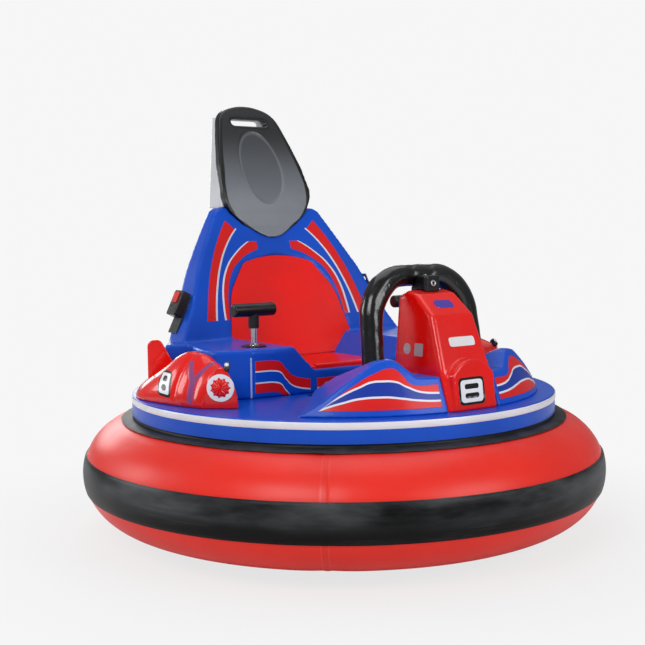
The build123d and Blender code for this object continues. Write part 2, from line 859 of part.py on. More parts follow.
# ---------------------------------------------------------------- seat belt
# Each half lies on the sloping side of the seat back; the plane's Y runs up the slope.
low_y, low_z = back_outline[1][:2]
high_y, high_z = back_outline[3][:2]
for side, sign in SIDES.items():
    up = Vector(0, sign * (high_y - low_y), high_z - low_z).normalized()
    out = Vector(0, sign * (high_z - low_z), low_y - high_y).normalized()
    flank = Plane(origin=(belt_x, sign * low_y, low_z), x_dir=up.cross(out), z_dir=out).offset(SEAT_GAP)
    strap_l = belt_strap_l[side]
    with BuildPart() as belt_strap:
        with BuildSketch(flank):
            with Locations((0, strap_l / 2)):
                Rectangle(belt_w, strap_l)
        extrude(amount=belt_t)
    pieces[f"belt_strap_{side}"] = belt_strap

    if side == "right":
        with BuildPart() as belt_buckle:
            with BuildSketch(flank.offset(belt_t)):
                with Locations((0, strap_l)):
                    RectangleRounded(buckle_w, buckle_l, buckle_w / 8)
            extrude(amount=buckle_t)
            fillet(belt_buckle.faces().sort_by(SortBy.DISTANCE)[-1].edges(), button_t)
        pieces["belt_buckle"] = belt_buckle
        with BuildPart() as buckle_button:
            with BuildSketch(flank.offset(belt_t + buckle_t)):
                with Locations((0, strap_l + (buckle_l - button_l) / 2 - button_t * 2)):
                    RectangleRounded(button_w, button_l, button_t)
            extrude(amount=button_t)
        pieces["buckle_button"] = buckle_button
    else:
        with BuildPart() as belt_tongue:
            with BuildSketch(flank.offset(belt_t)):
                with Locations((0, strap_l)):
                    RectangleRounded(tongue_w, tongue_l, tongue_t)
                    with Locations((0, tongue_l / 5)):
                        RectangleRounded(tongue_slot_w, tongue_slot_l, tongue_t, mode=Mode.SUBTRACT)
            extrude(amount=tongue_t)
            with BuildSketch(flank.offset(belt_t)):
                with Locations((0, strap_l - tongue_l / 2)):
                    RectangleRounded(belt_w, tongue_grip_l, tongue_t)
            extrude(amount=buckle_t / 2)
        pieces["belt_tongue"] = belt_tongue

# ---------------------------------------------------------------- chassis
pan_top_z = pan_bottom_z + chassis_t
cradle_inner = tube_section_r + SEAT_GAP
cradle_outer = cradle_inner + chassis_t
pan_edge_r = tube_r - sqrt(cradle_outer ** 2 - (tube_z - pan_top_z) ** 2)
slot_y0 = wheel_y - wheel_w / 2 - wheel_slot_gap
slot_y1 = wheel_y + wheel_w / 2 + wheel_slot_gap
gearbox_y1 = wheel_y - wheel_w / 2 - gearbox_gap
gearbox_y0 = gearbox_y1 - gearbox_w
wheel_cut_half = sqrt(wheel_r ** 2 - (wheel_r - pan_top_z) ** 2) + wheel_slot_gap
with BuildPart() as chassis_pan:
    with BuildSketch(Plane.XY.offset(pan_bottom_z)):
        Circle(pan_edge_r + chassis_t / 2)
    extrude(amount=chassis_t)
    with BuildSketch(Plane.XZ):
        add(tube_cover(*rim_angles, chassis_t))
    revolve(axis=Axis.Z)
    with BuildSketch(Plane.XY.offset(pan_bottom_z)):
        for sign in SIDES.values():
            with Locations((0, sign * (slot_y0 + slot_y1) / 2)):
                Rectangle(2 * wheel_cut_half, slot_y1 - slot_y0)
            with Locations((0, sign * (gearbox_y0 + slot_y0) / 2)):
                Rectangle(gearbox_l, slot_y0 - gearbox_y0)
    extrude(amount=chassis_t, mode=Mode.SUBTRACT)
pieces["chassis_pan"] = chassis_pan

with BuildPart() as chassis_frame:
    for x, y in post_places:
        with Locations((x, 0, pan_top_z)):
            Box(rail, 2 * y + rail, rail, align=(Align.CENTER, Align.CENTER, Align.MIN))
        with Locations((x, y, pan_top_z), (x, -y, pan_top_z)):
            Box(rail, rail, floor_under - pan_top_z, align=(Align.CENTER, Align.CENTER, Align.MIN))
    front_x, rear_x = post_places[0][0], post_places[1][0]
    with Locations(((front_x + rear_x) / 2, rail_y, pan_top_z), ((front_x + rear_x) / 2, -rail_y, pan_top_z)):
        Box(front_x - rear_x, rail, rail, align=(Align.CENTER, Align.CENTER, Align.MIN))
pieces["chassis_frame"] = chassis_frame

with BuildPart() as battery:
    with Locations((battery_x, 0, pan_top_z + rail)):
        Box(battery_l, battery_w, battery_h, align=(Align.CENTER, Align.CENTER, Align.MIN))
pieces["battery"] = battery

# ---------------------------------------------------------------- drive motors and wheels
for side, sign in SIDES.items():
    with BuildPart() as motor:
        with Locations((0, sign * (gearbox_y0 + gearbox_w / 2), gearbox_bottom_z)):
            Box(gearbox_l - 2 * FIT_GAP, gearbox_w, gearbox_top_z - gearbox_bottom_z,
                align=(Align.CENTER, Align.CENTER, Align.MIN))
        with Locations((0, sign * (gearbox_y0 + (slot_y0 - gearbox_y0) / 2), pan_top_z)):
            Box(foot_l, slot_y0 - gearbox_y0, foot_t, align=(Align.CENTER, Align.CENTER, Align.MIN))
        with BuildSketch(Plane.XZ.offset(-sign * gearbox_y0)):
            with Locations((0, pan_top_z + motor_r)):
                Circle(motor_r)
        extrude(amount=sign * motor_l)
        with BuildSketch(Plane.XZ.offset(-sign * gearbox_y1)):
            with Locations((0, wheel_r)):
                Circle(stub_r + FIT_GAP)
        extrude(amount=sign * gearbox_w, mode=Mode.SUBTRACT)
    pieces[f"motor_{side}"] = motor

    with BuildPart() as drive_rim:
        with BuildSketch(Plane.XZ.offset(-sign * (wheel_y + wheel_w / 2))):
            with Locations((0, wheel_r)):
                Circle(rim_r)
        extrude(amount=sign * wheel_w)
        with BuildSketch(Plane.XZ.offset(-sign * (wheel_y + wheel_w / 2))):
            with Locations((0, wheel_r)):
                Circle(rim_r - rim_t)
                Circle(hub_r, mode=Mode.SUBTRACT)
        extrude(amount=sign * rim_dish, mode=Mode.SUBTRACT)
        with BuildSketch(Plane.XZ.offset(-sign * (wheel_y - wheel_w / 2))):
            with Locations((0, wheel_r)):
                Circle(stub_r)
        extrude(amount=sign * (gearbox_gap + gearbox_w - stub_end_gap))
    pieces[f"drive_rim_{side}"] = drive_rim

    with BuildPart() as drive_tyre:
        with BuildSketch(Plane.XZ.offset(-sign * (wheel_y + wheel_w / 2))):
            with Locations((0, wheel_r)):
                Circle(wheel_r)
        extrude(amount=sign * wheel_w)
        fillet(drive_tyre.edges().filter_by(GeomType.CIRCLE), wheel_edge_r)
        with BuildSketch(Plane.XZ.offset(-sign * (wheel_y + wheel_w / 2))):
            with Locations((0, wheel_r)):
                Circle(rim_r)
        extrude(amount=sign * wheel_w, mode=Mode.SUBTRACT)
    pieces[f"drive_tyre_{side}"] = drive_tyre

# ---------------------------------------------------------------- castors
boss_z = pan_bottom_z - castor_plate_t - castor_boss_h
fork_top_z = boss_z - castor_head_gap
fork_in_half = castor_w / 2 + castor_fork_gap
for end, sign in (("front", 1), ("rear", -1)):
    x = sign * castor_x
    axle_x = x - castor_trail
    with BuildPart() as castor_plate:
        with Locations((x, 0, pan_bottom_z)):
            Box(castor_plate_size, castor_plate_size, castor_plate_t, align=(Align.CENTER, Align.CENTER, Align.MAX))
        with Locations((x, 0, boss_z)):
            Cylinder(castor_boss_r, castor_boss_h, align=(Align.CENTER, Align.CENTER, Align.MIN))
            Cylinder(king_pin_r + FIT_GAP, castor_boss_h + castor_plate_t,
                     align=(Align.CENTER, Align.CENTER, Align.MIN), mode=Mode.SUBTRACT)
    pieces[f"castor_plate_{end}"] = castor_plate

    with BuildPart() as castor_fork:
        with Locations((x, 0, fork_top_z)):
            Cylinder(castor_boss_r, castor_fork_t, align=(Align.CENTER, Align.CENTER, Align.MAX))
            Cylinder(king_pin_r, castor_head_gap + castor_boss_h, align=(Align.CENTER, Align.CENTER, Align.MIN))
        for y_sign in SIDES.values():
            with BuildSketch(Plane.XZ.offset(-y_sign * fork_in_half)):
                with BuildLine():
                    Polyline(
                        (x + castor_boss_r - castor_fork_t, fork_top_z),
                        (axle_x + castor_fork_half_w, castor_r),
                        (axle_x, castor_r - castor_fork_half_w),
                        (axle_x - castor_fork_half_w, castor_r),
                        (x - castor_boss_r + castor_fork_t, fork_top_z),
                        close=True,
                    )
                make_face()
            extrude(amount=-y_sign * castor_fork_t)
        with Locations(Plane(origin=(x, 0, fork_top_z))):
            Box(2 * (castor_boss_r - castor_fork_t), 2 * (fork_in_half + castor_fork_t), castor_fork_t,
                align=(Align.CENTER, Align.CENTER, Align.MAX))
        with Locations(Plane(origin=(axle_x, 0, castor_r), z_dir=(0, 1, 0))):
            Cylinder(castor_axle_r, 2 * fork_in_half)
    pieces[f"castor_fork_{end}"] = castor_fork

    with BuildPart() as castor_wheel:
        with Locations(Plane(origin=(axle_x, 0, castor_r), z_dir=(0, 1, 0))):
            Cylinder(castor_r, castor_w)
        fillet(castor_wheel.edges().filter_by(GeomType.CIRCLE), castor_fork_t)
        with Locations(Plane(origin=(axle_x, 0, castor_r), z_dir=(0, 1, 0))):
            Cylinder(castor_axle_r + FIT_GAP, castor_w, mode=Mode.SUBTRACT)
    pieces[f"castor_wheel_{end}"] = castor_wheel

# ---------------------------------------------------------------- export
os.makedirs("parts", exist_ok=True)
for name, piece in pieces.items():
    piece.part.label = name
    export_step(piece.part, f"parts/{name}.step")
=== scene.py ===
"""Looks of the inflatable mini bumper car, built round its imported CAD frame.  Metres throughout."""

import bmesh
import bpy
from math import atan2, copysign, cos, degrees, exp, hypot, pi, radians, sin, sqrt
from mathutils import Matrix, Vector, noise
from mathutils.bvhtree import BVHTree


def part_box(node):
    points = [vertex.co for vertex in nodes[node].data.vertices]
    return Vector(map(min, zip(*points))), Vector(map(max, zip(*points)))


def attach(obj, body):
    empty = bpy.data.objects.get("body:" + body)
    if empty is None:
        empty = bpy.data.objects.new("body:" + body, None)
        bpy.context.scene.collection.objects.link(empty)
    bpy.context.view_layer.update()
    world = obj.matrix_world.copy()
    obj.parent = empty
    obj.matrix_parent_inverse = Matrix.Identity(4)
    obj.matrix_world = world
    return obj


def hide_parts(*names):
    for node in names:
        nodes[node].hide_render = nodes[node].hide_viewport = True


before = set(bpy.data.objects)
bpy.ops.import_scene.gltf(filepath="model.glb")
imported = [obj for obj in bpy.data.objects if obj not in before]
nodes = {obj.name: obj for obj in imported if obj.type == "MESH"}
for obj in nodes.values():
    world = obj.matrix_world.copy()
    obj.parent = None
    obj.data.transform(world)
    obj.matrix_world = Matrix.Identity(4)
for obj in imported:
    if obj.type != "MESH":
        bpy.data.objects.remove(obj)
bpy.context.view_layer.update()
MM = 0.001
SIDES = {"left": 1, "right": -1}


def middle_of(name):
    """The middle of a node's box, and half its sides."""
    low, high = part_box(name)
    return (low + high) / 2, (high - low) / 2


# ---- node helpers
def operator(operation, swapped=False):
    """A method that adds a Math node for self and one other value."""
    return lambda self, other: calc(operation, *((other, self) if swapped else (self, other)))


class Value:
    """What a node's socket gives.  Sums of values add Math nodes; & overlaps masks and | joins them."""

    def __init__(self, socket):
        self.socket, self.tree = socket, socket.id_data

    def __abs__(self):
        return calc("ABSOLUTE", self)

    __add__ = __radd__ = operator("ADD")
    __sub__, __rsub__ = operator("SUBTRACT"), operator("SUBTRACT", swapped=True)
    __mul__ = __rmul__ = __and__ = operator("MULTIPLY")
    __truediv__, __rtruediv__ = operator("DIVIDE"), operator("DIVIDE", swapped=True)
    __pow__ = operator("POWER")
    __or__ = operator("MAXIMUM")


def link(value, socket):
    """Links a value, or a socket, to a socket."""
    socket.id_data.links.new(value.socket if isinstance(value, Value) else value, socket)


def add_node(tree, kind, inputs=None, **settings):
    """A node with its settings, and its inputs by name or number: a value is linked, a constant is set."""
    made = tree.nodes.new(kind if "Node" in kind else f"ShaderNode{kind}")
    for key, value in settings.items():
        setattr(made, key, value)
    for key, value in (inputs or {}).items():
        if isinstance(value, (Value, bpy.types.NodeSocket)):
            link(value, made.inputs[key])
        else:
            made.inputs[key].default_value = value
    return made


def result(tree, kind, inputs=None, output=0, **settings):
    """The value that a new node gives."""
    return Value(add_node(tree, kind, inputs, **settings).outputs[output])


def calc(operation, *values, clamp=False):
    """A Math node's result; at least one of the values comes from a node."""
    tree = next(value.tree for value in values if isinstance(value, Value))
    return result(tree, "Math", dict(enumerate(values)), operation=operation, use_clamp=clamp)


def length_of(across, upright):
    """The length of a slanted reach from its two square sides."""
    return calc("SQRT", across ** 2.0 + upright ** 2.0)


def linear(tint):
    """A linear colour from its 0 to 255 screen values; a node's value stays as it is."""
    return tint if isinstance(tint, Value) else tuple((c / 255) ** 2.2 for c in tint) + (1.0,)


def paint(tint, mask, colour):
    """The tint with colour laid over it where the mask is 1."""
    return result(mask.tree, "Mix", {0: mask, 6: linear(tint), 7: linear(colour)}, 2, data_type="RGBA")


def remap(value, low, high, to_low=0.0, to_high=1.0, shape="LINEAR"):
    """A Map Range node's result."""
    return result(value.tree, "MapRange",
                  {"Value": value, "From Min": low, "From Max": high, "To Min": to_low, "To Max": to_high},
                  interpolation_type=shape)


def curve_through(value, points):
    """A Float Curve through (value, result) points, both in their own units."""
    lows = [min(p[i] for p in points) for i in (0, 1)]
    spans = [(max(p[i] for p in points) - lows[i]) or 1.0 for i in (0, 1)]
    bend = add_node(value.tree, "FloatCurve", {"Value": remap(value, lows[0], lows[0] + spans[0])})
    line = bend.mapping.curves[0]
    placed = sorted(((u - lows[0]) / spans[0], (v - lows[1]) / spans[1]) for u, v in points)
    line.points[0].location, line.points[1].location = placed[0], placed[-1]
    for spot in placed[1:-1]:
        line.points.new(*spot)
    bend.mapping.update()
    return remap(Value(bend.outputs[0]), 0.0, 1.0, lows[1], lows[1] + spans[1])


def parts_of(vector):
    """The x, y and z of a vector value."""
    return [Value(part) for part in add_node(vector.tree, "SeparateXYZ", {0: vector}).outputs]


def coordinates(tree):
    """The place on the object as a vector, and its x, y and z."""
    place = result(tree, "TexCoord", output="Object")
    return place, *parts_of(place)


def geometry(near, output):
    """A value of the shaded point, such as its normal, in the same tree as another value."""
    return result(near.tree, "NewGeometry", output=output)


def noise_of(place, scale, detail=3.0, roughness=0.5, stretch=None):
    """A Noise texture's value; stretch scales the place on each axis."""
    if stretch:
        place = result(place.tree, "VectorMath", {0: place, 1: stretch}, operation="MULTIPLY")
    return result(place.tree, "TexNoise",
                  {"Vector": place, "Scale": scale, "Detail": detail, "Roughness": roughness})


# ---- shader groups
def shader_group(name, outputs, **inputs):
    """Turns build(place, **inputs), which returns the outputs' values, into a shader group of floats.

    What the function's name then holds adds the group by a value of a material, with that material's own inputs.
    """
    def make(build):
        group = bpy.data.node_groups.new(name, "ShaderNodeTree")
        for key, value in inputs.items():
            socket = group.interface.new_socket(key.replace("_", " "), in_out="INPUT", socket_type="NodeSocketFloat")
            socket.default_value = value
        for key in outputs:
            group.interface.new_socket(key, in_out="OUTPUT", socket_type="NodeSocketFloat")
        given = dict(zip(inputs, map(Value, group.nodes.new("NodeGroupInput").outputs)))
        sinks = group.nodes.new("NodeGroupOutput").inputs
        for value, sink in zip(build(coordinates(group)[0], **given), sinks):
            link(value, sink)

        def place_group(near, **own):
            own = {key.replace("_", " "): value for key, value in own.items()}
            gives = [Value(socket) for socket in add_node(near.tree, "Group", own, node_tree=group).outputs]
            return gives if len(outputs) > 1 else gives[0]
        return place_group
    return make


@shader_group("painted_line", ["Mask"], Distance=0.0, Half_Width=0.002, Softness=0.0006)
def painted_line(place, Distance, Half_Width, Softness):
    """1 within Half Width of Distance zero, with a soft edge."""
    return [calc("ADD", (Half_Width - abs(Distance)) / Softness, 0.5, clamp=True)]


@shader_group("moulded_skin", ["Shade", "Scratches", "Height"], Cloud_Scale=6.0, Scratch_Scale=90.0, Skin_Scale=55.0)
def moulded_skin(place, Cloud_Scale, Scratch_Scale, Skin_Scale):
    """Handling marks of moulded plastic: faint cloudy shade, fine scratches and a slightly uneven skin."""
    clouds = noise_of(place, Cloud_Scale, detail=4.0)
    streaks = noise_of(place, Scratch_Scale, detail=2.0, stretch=(1.0, 0.12, 1.0))
    blotches = noise_of(place, Cloud_Scale, detail=1.0, stretch=(3.0, 3.0, 3.0))
    return [remap(clouds, 0.35, 0.75, shape="SMOOTHSTEP"), remap(streaks, 0.60, 0.72) & remap(blotches, 0.45, 0.65),
            noise_of(place, Skin_Scale, detail=1.0)]


@shader_group("rubbed_edges", ["Mask"], Amount=0.5, Breakup_Scale=60.0)
def rubbed_edges(place, Amount, Breakup_Scale):
    """A mask along sharp edges, for rubbed wear and, on the mouldings, a painted highlight.  Amount moves how far from
    a sharp edge the rubbing reaches.
    """
    breakup = noise_of(place, Breakup_Scale, detail=5.0, roughness=0.7)
    edges = remap(geometry(place, "Pointiness"), 0.52, 0.60)
    return [calc("SUBTRACT", edges * (breakup * 2.0), 1.0 - Amount, clamp=True)]


@shader_group("fine_grain", ["Height"], Scale=900.0)
def fine_grain(place, Scale):
    """Grain of textured plastic, rubber and powder coat."""
    cells = result(place.tree, "TexVoronoi", {"Vector": place, "Scale": Scale}, "Distance")
    return [cells + noise_of(place, Scale, detail=2.0)]


@shader_group("plain_weave", ["Height"], Across=0.0, Along=0.0, Pitch=0.0012)
def plain_weave(place, Across, Along, Pitch):
    """Weave from two running lengths: threads pass over and under each other."""
    return [remap(calc("SINE", Across / Pitch * pi) * calc("SINE", Along / Pitch * pi), -1.0, 1.0)]


@shader_group("settled_dust", ["Mask"], Amount=0.3, Scale=18.0)
def settled_dust(place, Amount, Scale):
    """Dust that settles on faces that look up."""
    patches = noise_of(place, Scale, detail=6.0, roughness=0.65)
    return [remap(parts_of(geometry(place, "Normal"))[2], 0.2, 1.0) & remap(patches, 0.3, 0.7) & Amount]


# ---- materials
# Colours are written as 0 to 255 screen values.
BLUE = (3, 80, 200)
DEEP_BLUE = (28, 58, 160)
RED = (234, 18, 6)
BRIGHT_RED = (250, 20, 8)
STRIPE_RED = (226, 30, 28)
TUBE_RED = (236, 44, 30)
WHITE = (232, 232, 238)
VIOLET = (142, 72, 126)
BLACK = (0, 0, 0)
# pale blue of a painted highlight down the pedestal's front corner
PAINTED_CORNER_HIGHLIGHT = (170, 190, 235)
MOULDED_DUST, GRAINED_DUST = (178, 172, 165), (150, 146, 140)
SKIN_DEPTH = 0.10 * MM       # of a moulding's slightly uneven skin
SOFT = 0.8 * MM              # width of a mask's soft edge


def layered(tint, *layers):
    """The tint under (mask, colour) layers."""
    for mask, colour in layers:
        tint = paint(tint, mask, colour)
    return tint


def new_finish(name, colour, roughness, build, **sockets):
    """A material; a socket's name has _ for a space.

    build(place, x, y, z) returns what the colour, roughness and height follow, and how deep the height is.
    """
    material = bpy.data.materials.new(name)
    material.use_nodes = True
    shader = material.node_tree.nodes["Principled BSDF"]
    for key, value in {"Base_Color": linear(colour), "Roughness": roughness, **sockets}.items():
        shader.inputs[key.replace("_", " ")].default_value = value
    tint, rough, height, depth = build(*coordinates(material.node_tree))
    bump = result(material.node_tree, "Bump", {"Height": height, "Distance": depth, "Strength": 1.0})
    for key, value in {"Base Color": tint, "Roughness": rough, "Normal": bump}.items():
        link(value, shader.inputs[key])
    return material


def moulded(name, colour, roughness=0.24, coat=0.5, coat_roughness=0.05, specular=0.35, marks=None, ridge=0.0,
            rub=0.45, dust=0.06):
    """Blow-moulded plastic with pale rubbed edges that are partly wear and partly a painted highlight.  marks(x, y, z)
    returns (mask, colour) layers and a mask of what stands proud.
    """
    def build(place, x, y, z):
        shade, scratches, height = moulded_skin(place)
        layers, raised = marks(x, y, z) if marks else ([], None)
        if marks:
            height = height + raised * (ridge / SKIN_DEPTH)
        layers.append((shade * 0.16, BLACK))
        # white along sharp edges: rubbed wear, and a painted highlight on the rounded edges
        if rub:
            layers.append((rubbed_edges(place, Amount=rub), WHITE))
        return (layered(colour, *layers, (settled_dust(place, Amount=dust), MOULDED_DUST)),
                roughness + scratches * 0.18 + shade * 0.06, height, SKIN_DEPTH)
    return new_finish(name, colour, roughness, build, Specular_IOR_Level=specular, Coat_Weight=coat,
                      Coat_Roughness=coat_roughness)


def grained(name, colour, roughness, grain_scale=900.0, depth=0.10 * MM, rub=0.3, worn=(120, 120, 122), **sockets):
    """Textured plastic, rubber or powder coat with rubbed edges and a little dust."""
    def build(place, x, y, z):
        shade, scratches, _ = moulded_skin(place, Cloud_Scale=9.0)
        return (layered(colour, (shade * 0.22, BLACK), (rubbed_edges(place, Amount=rub), worn),
                        (settled_dust(place, Amount=0.14), GRAINED_DUST)),
                roughness - 0.05 + shade * 0.12 - scratches * 0.1, fine_grain(place, Scale=grain_scale), depth)
    return new_finish(name, colour, roughness, build, **sockets)


def metal(name, colour, roughness, stain=(150, 150, 150)):
    """Bare or plated metal with fine scratches and patches of stain."""
    def build(place, x, y, z):
        _, scratches, height = moulded_skin(place, Cloud_Scale=20.0, Scratch_Scale=140.0)
        patches = remap(noise_of(place, 35.0, detail=6.0, roughness=0.7), 0.5, 0.8, 0.0, 0.5)
        return paint(colour, patches, stain), roughness + scratches * 0.2, scratches + height, 0.03 * MM
    return new_finish(name, colour, roughness, build, Metallic=1.0)


def line_at(distance, half_width, softness=SOFT):
    """1 near distance zero."""
    return painted_line(distance, Distance=distance, Half_Width=half_width, Softness=softness)


def above(value, limit, softness=SOFT):
    """1 where value is more than limit."""
    return calc("ADD", (value - limit) / softness, 0.5, clamp=True)


def below(value, limit, softness=SOFT):
    """1 where value is less than limit."""
    return 1.0 - above(value, limit, softness)


def between(value, low, high, softness=SOFT):
    return above(value, low, softness) & below(value, high, softness)


def turn_of(across, upright):
    """The angle of a slanted reach, in degrees."""
    return calc("DEGREES", calc("ARCTAN2", upright, across))


# ---- the seat moulding's stripes: each edge as (height, distance from the middle)
BACK_FOOT_Z, BACK_FRONT_X, BACK_FACING = 0.475, -0.10, 0.2
OUTER_EDGE = [(0.46, 0.243), (0.51, 0.230), (0.555, 0.217), (0.60, 0.200), (0.665, 0.166), (0.72, 0.127)]
OUTER_LINE = [(0.46, 0.214), (0.515, 0.203), (0.559, 0.190), (0.607, 0.170), (0.655, 0.140), (0.70, 0.096)]
INNER_LINE = [(0.44, 0.185), (0.517, 0.182), (0.562, 0.172), (0.600, 0.152), (0.632, 0.120), (0.664, 0.070)]
INNER_EDGE = [(0.44, 0.176), (0.478, 0.171), (0.537, 0.163), (0.584, 0.143), (0.614, 0.112), (0.642, 0.050)]
OUTER_SLANT, OUTER_RED_END, OUTER_WHITE_END = -0.93, 0.590, 0.596
INNER_TOP_Z, INNER_RED_Y, INNER_WHITE_Y = 0.661, 0.045, 0.068
LINE_HALF_W = 2.6 * MM
# The dark border round the liner: (angle up from the side, reach from the liner's centre).
LINER_BORDER = [(-25, 0.192), (0, 0.178), (20, 0.178), (37, 0.180), (50, 0.180), (62, 0.178), (75, 0.181), (90, 0.185)]
LINER_CENTRE_Z = 0.448
# The wave on the riser below the seat: (distance from the middle, rise), and its bands' heights.
RISER_WAVE = [(0.0, -0.049), (0.12, -0.049), (0.135, -0.047), (0.163, -0.040), (0.188, -0.020), (0.21, -0.002),
              (0.264, 0.0)]
RISER_FOOT_Z, RISER_LOWER_Z, RISER_UPPER_Z, RISER_TOP_Z = 0.334, 0.356, 0.381, 0.404
# the last of these is how far out a painted highlight runs down the pedestal's front corner
RISER_X, RISER_Z, RISER_END_Y, RISER_GAP_Y, RISER_HIGHLIGHT_Y = 0.026, 0.412, 0.264, (0.104, 0.122), 0.2735


def seat_marks(x, y, z):
    side = abs(y)
    outer_edge, outer_line, inner_line, inner_edge = [curve_through(z, points) for points in
                                                      (OUTER_EDGE, OUTER_LINE, INNER_LINE, INNER_EDGE)]
    facing = parts_of(geometry(x, "Normal"))[0]
    on_back = above(z, BACK_FOOT_Z) & below(x, BACK_FRONT_X) & above(facing, BACK_FACING, 0.1)
    slant = z + side * OUTER_SLANT
    outer = on_back & above(side, outer_line) & below(side, outer_edge) & below(slant, OUTER_RED_END)
    outer_white = on_back & line_at(side - outer_line, LINE_HALF_W) & below(slant, OUTER_WHITE_END)
    under_top = below(z, INNER_TOP_Z, 2 * MM)
    inner = on_back & above(side, inner_edge) & below(side, inner_line) & above(side, INNER_RED_Y) & under_top
    inner_white = on_back & line_at(side - inner_line, LINE_HALF_W) & above(side, INNER_WHITE_Y) & under_top
    rise = z - LINER_CENTRE_Z
    border = on_back & below(length_of(side, rise) - curve_through(turn_of(side, rise), LINER_BORDER), 0.0)

    wave = z - curve_through(side, RISER_WAVE)
    front = above(x, RISER_X) & below(z, RISER_Z)
    field = front & below(side, RISER_END_Y) & (1.0 - between(side, *RISER_GAP_Y))
    riser_red = field & between(wave, RISER_FOOT_Z, RISER_TOP_Z)
    riser_blue = field & between(wave, RISER_LOWER_Z, RISER_UPPER_Z)
    riser_white = field & (line_at(wave - RISER_UPPER_Z, 1.6 * MM) | line_at(wave - RISER_LOWER_Z, 1.6 * MM))
    # a pale line painted down the pedestal's front corner: a painted highlight
    corner_highlight = front & line_at(side - RISER_HIGHLIGHT_Y, 1.8 * MM)
    layers = [(border, DEEP_BLUE), (outer, STRIPE_RED), (inner, STRIPE_RED), (outer_white, WHITE),
              (inner_white, WHITE), (riser_red, STRIPE_RED), (riser_blue, BLUE), (riser_white, WHITE),
              (corner_highlight, PAINTED_CORNER_HIGHLIGHT)]
    return layers, outer | inner | riser_red


# ---- the front fenders' panel and wave: (angle from straight ahead, height)
PANEL_TOP = [(0, 0.378), (11, 0.378), (17.5, 0.379), (21, 0.402), (23.6, 0.413), (28, 0.405), (34.7, 0.379),
             (43, 0.336), (50, 0.30)]
WAVE_TOP = [(0, 0.362), (11.6, 0.362), (15.5, 0.365), (19.9, 0.377), (23.5, 0.388), (28, 0.389), (32.5, 0.379),
            (39.1, 0.356), (43, 0.338), (50, 0.31)]
WAVE_FOOT = [(0, 0.347), (11.6, 0.347), (16.8, 0.350), (21.3, 0.355), (26.1, 0.359), (31.4, 0.358), (36.9, 0.350),
             (43, 0.336), (50, 0.31)]
PANEL_FOOT_Z, PANEL_END, WAVE_LINE_HALF_W = 0.3345, 10.6, 1.9 * MM
RIDGE_REACH, RIDGE_SLOPE = 0.560, 0.38       # the panel ends at the fender's ridge, which leans in as it rises


def fender_marks(x, y, z):
    turn = turn_of(x, abs(y))
    outside = above(length_of(x, y) + z * RIDGE_SLOPE, RIDGE_REACH, 2 * MM)
    top, wave_top, wave_foot = [curve_through(turn, points) for points in (PANEL_TOP, WAVE_TOP, WAVE_FOOT)]
    panel = outside & above(z, PANEL_FOOT_Z) & above(turn, PANEL_END, 0.1) & above(top, z)
    over_foot, over_top = z - wave_foot, z - wave_top
    wave = panel & above(over_foot, 0.0) & below(over_top, 0.0)
    white = panel & (line_at(over_foot, WAVE_LINE_HALF_W) | line_at(over_top, WAVE_LINE_HALF_W))
    return [(panel, STRIPE_RED), (wave, DEEP_BLUE), (white, WHITE)], panel


# ---- the side pods' forked stripe: its stem leans back and its arms spread from FORK_Z up
STRIPE_FOOT_Z, FORK_Z, STRIPE_TOP_Z, STRIPE_END_Z = 0.330, 0.375, 0.418, 0.415
STEM_X, FORK_SPREAD, POD_OUTER_Y = (0.055, 0.043), 0.026, 0.385


def pod_marks(x, y, z):
    spread = remap(z, FORK_Z, STRIPE_TOP_Z, 0.0, FORK_SPREAD)
    lean = remap(z, STRIPE_FOOT_Z, STRIPE_TOP_Z, *STEM_X)
    fork = (line_at(abs(x - lean) - spread, 7 * MM, 4 * MM) & between(z, STRIPE_FOOT_Z, STRIPE_END_Z, 4 * MM)
            & above(abs(y), POD_OUTER_Y))
    return [(fork, VIOLET)], fork


# ---- the materials themselves
TUBE_PANELS = 4
SEAM_TURN = radians(4.5)      # how far the seams stand round from the diagonals
LAP_HALF_W = 6 * MM
tube_mid, tube_half = middle_of("bumper_tube")
tube_section_r, tube_z = tube_half.z, tube_mid.z
tube_r = tube_half.x - tube_section_r
LIGHT_FADE_HALF_H = 0.030         # the painted light on the band's upper half fades in over this height about its middle


def tube_fabric(place, x, y, z):
    """Coated fabric of the inflated tube: satin, with welded panel seams every few hand spans."""
    shade, _, height = moulded_skin(place, Cloud_Scale=4.0, Scratch_Scale=60.0, Skin_Scale=24.0)
    turn = calc("ARCTAN2", y, x)
    panel = 2 * pi / TUBE_PANELS
    off_seam = abs(calc("FRACT", (turn + (pi - SEAM_TURN)) / panel) - 0.5) * (panel * tube_r)
    lap = below(off_seam, LAP_HALF_W, 2 * MM)
    weld = line_at(off_seam - LAP_HALF_W, 1.0 * MM, 1.5 * MM)
    tint = layered(TUBE_RED, (shade * 0.14, (150, 16, 12)), (lap * 0.12, (180, 22, 18)), (weld * 0.22, (238, 96, 84)),
                   (settled_dust(place, Amount=0.04), (190, 160, 150)))
    weave = plain_weave(place, Across=turn * tube_r, Along=z, Pitch=1.4 * MM)
    return tint, 0.33 + shade * 0.10 - weld * 0.08, weave * 0.10 + height, 0.5 * MM


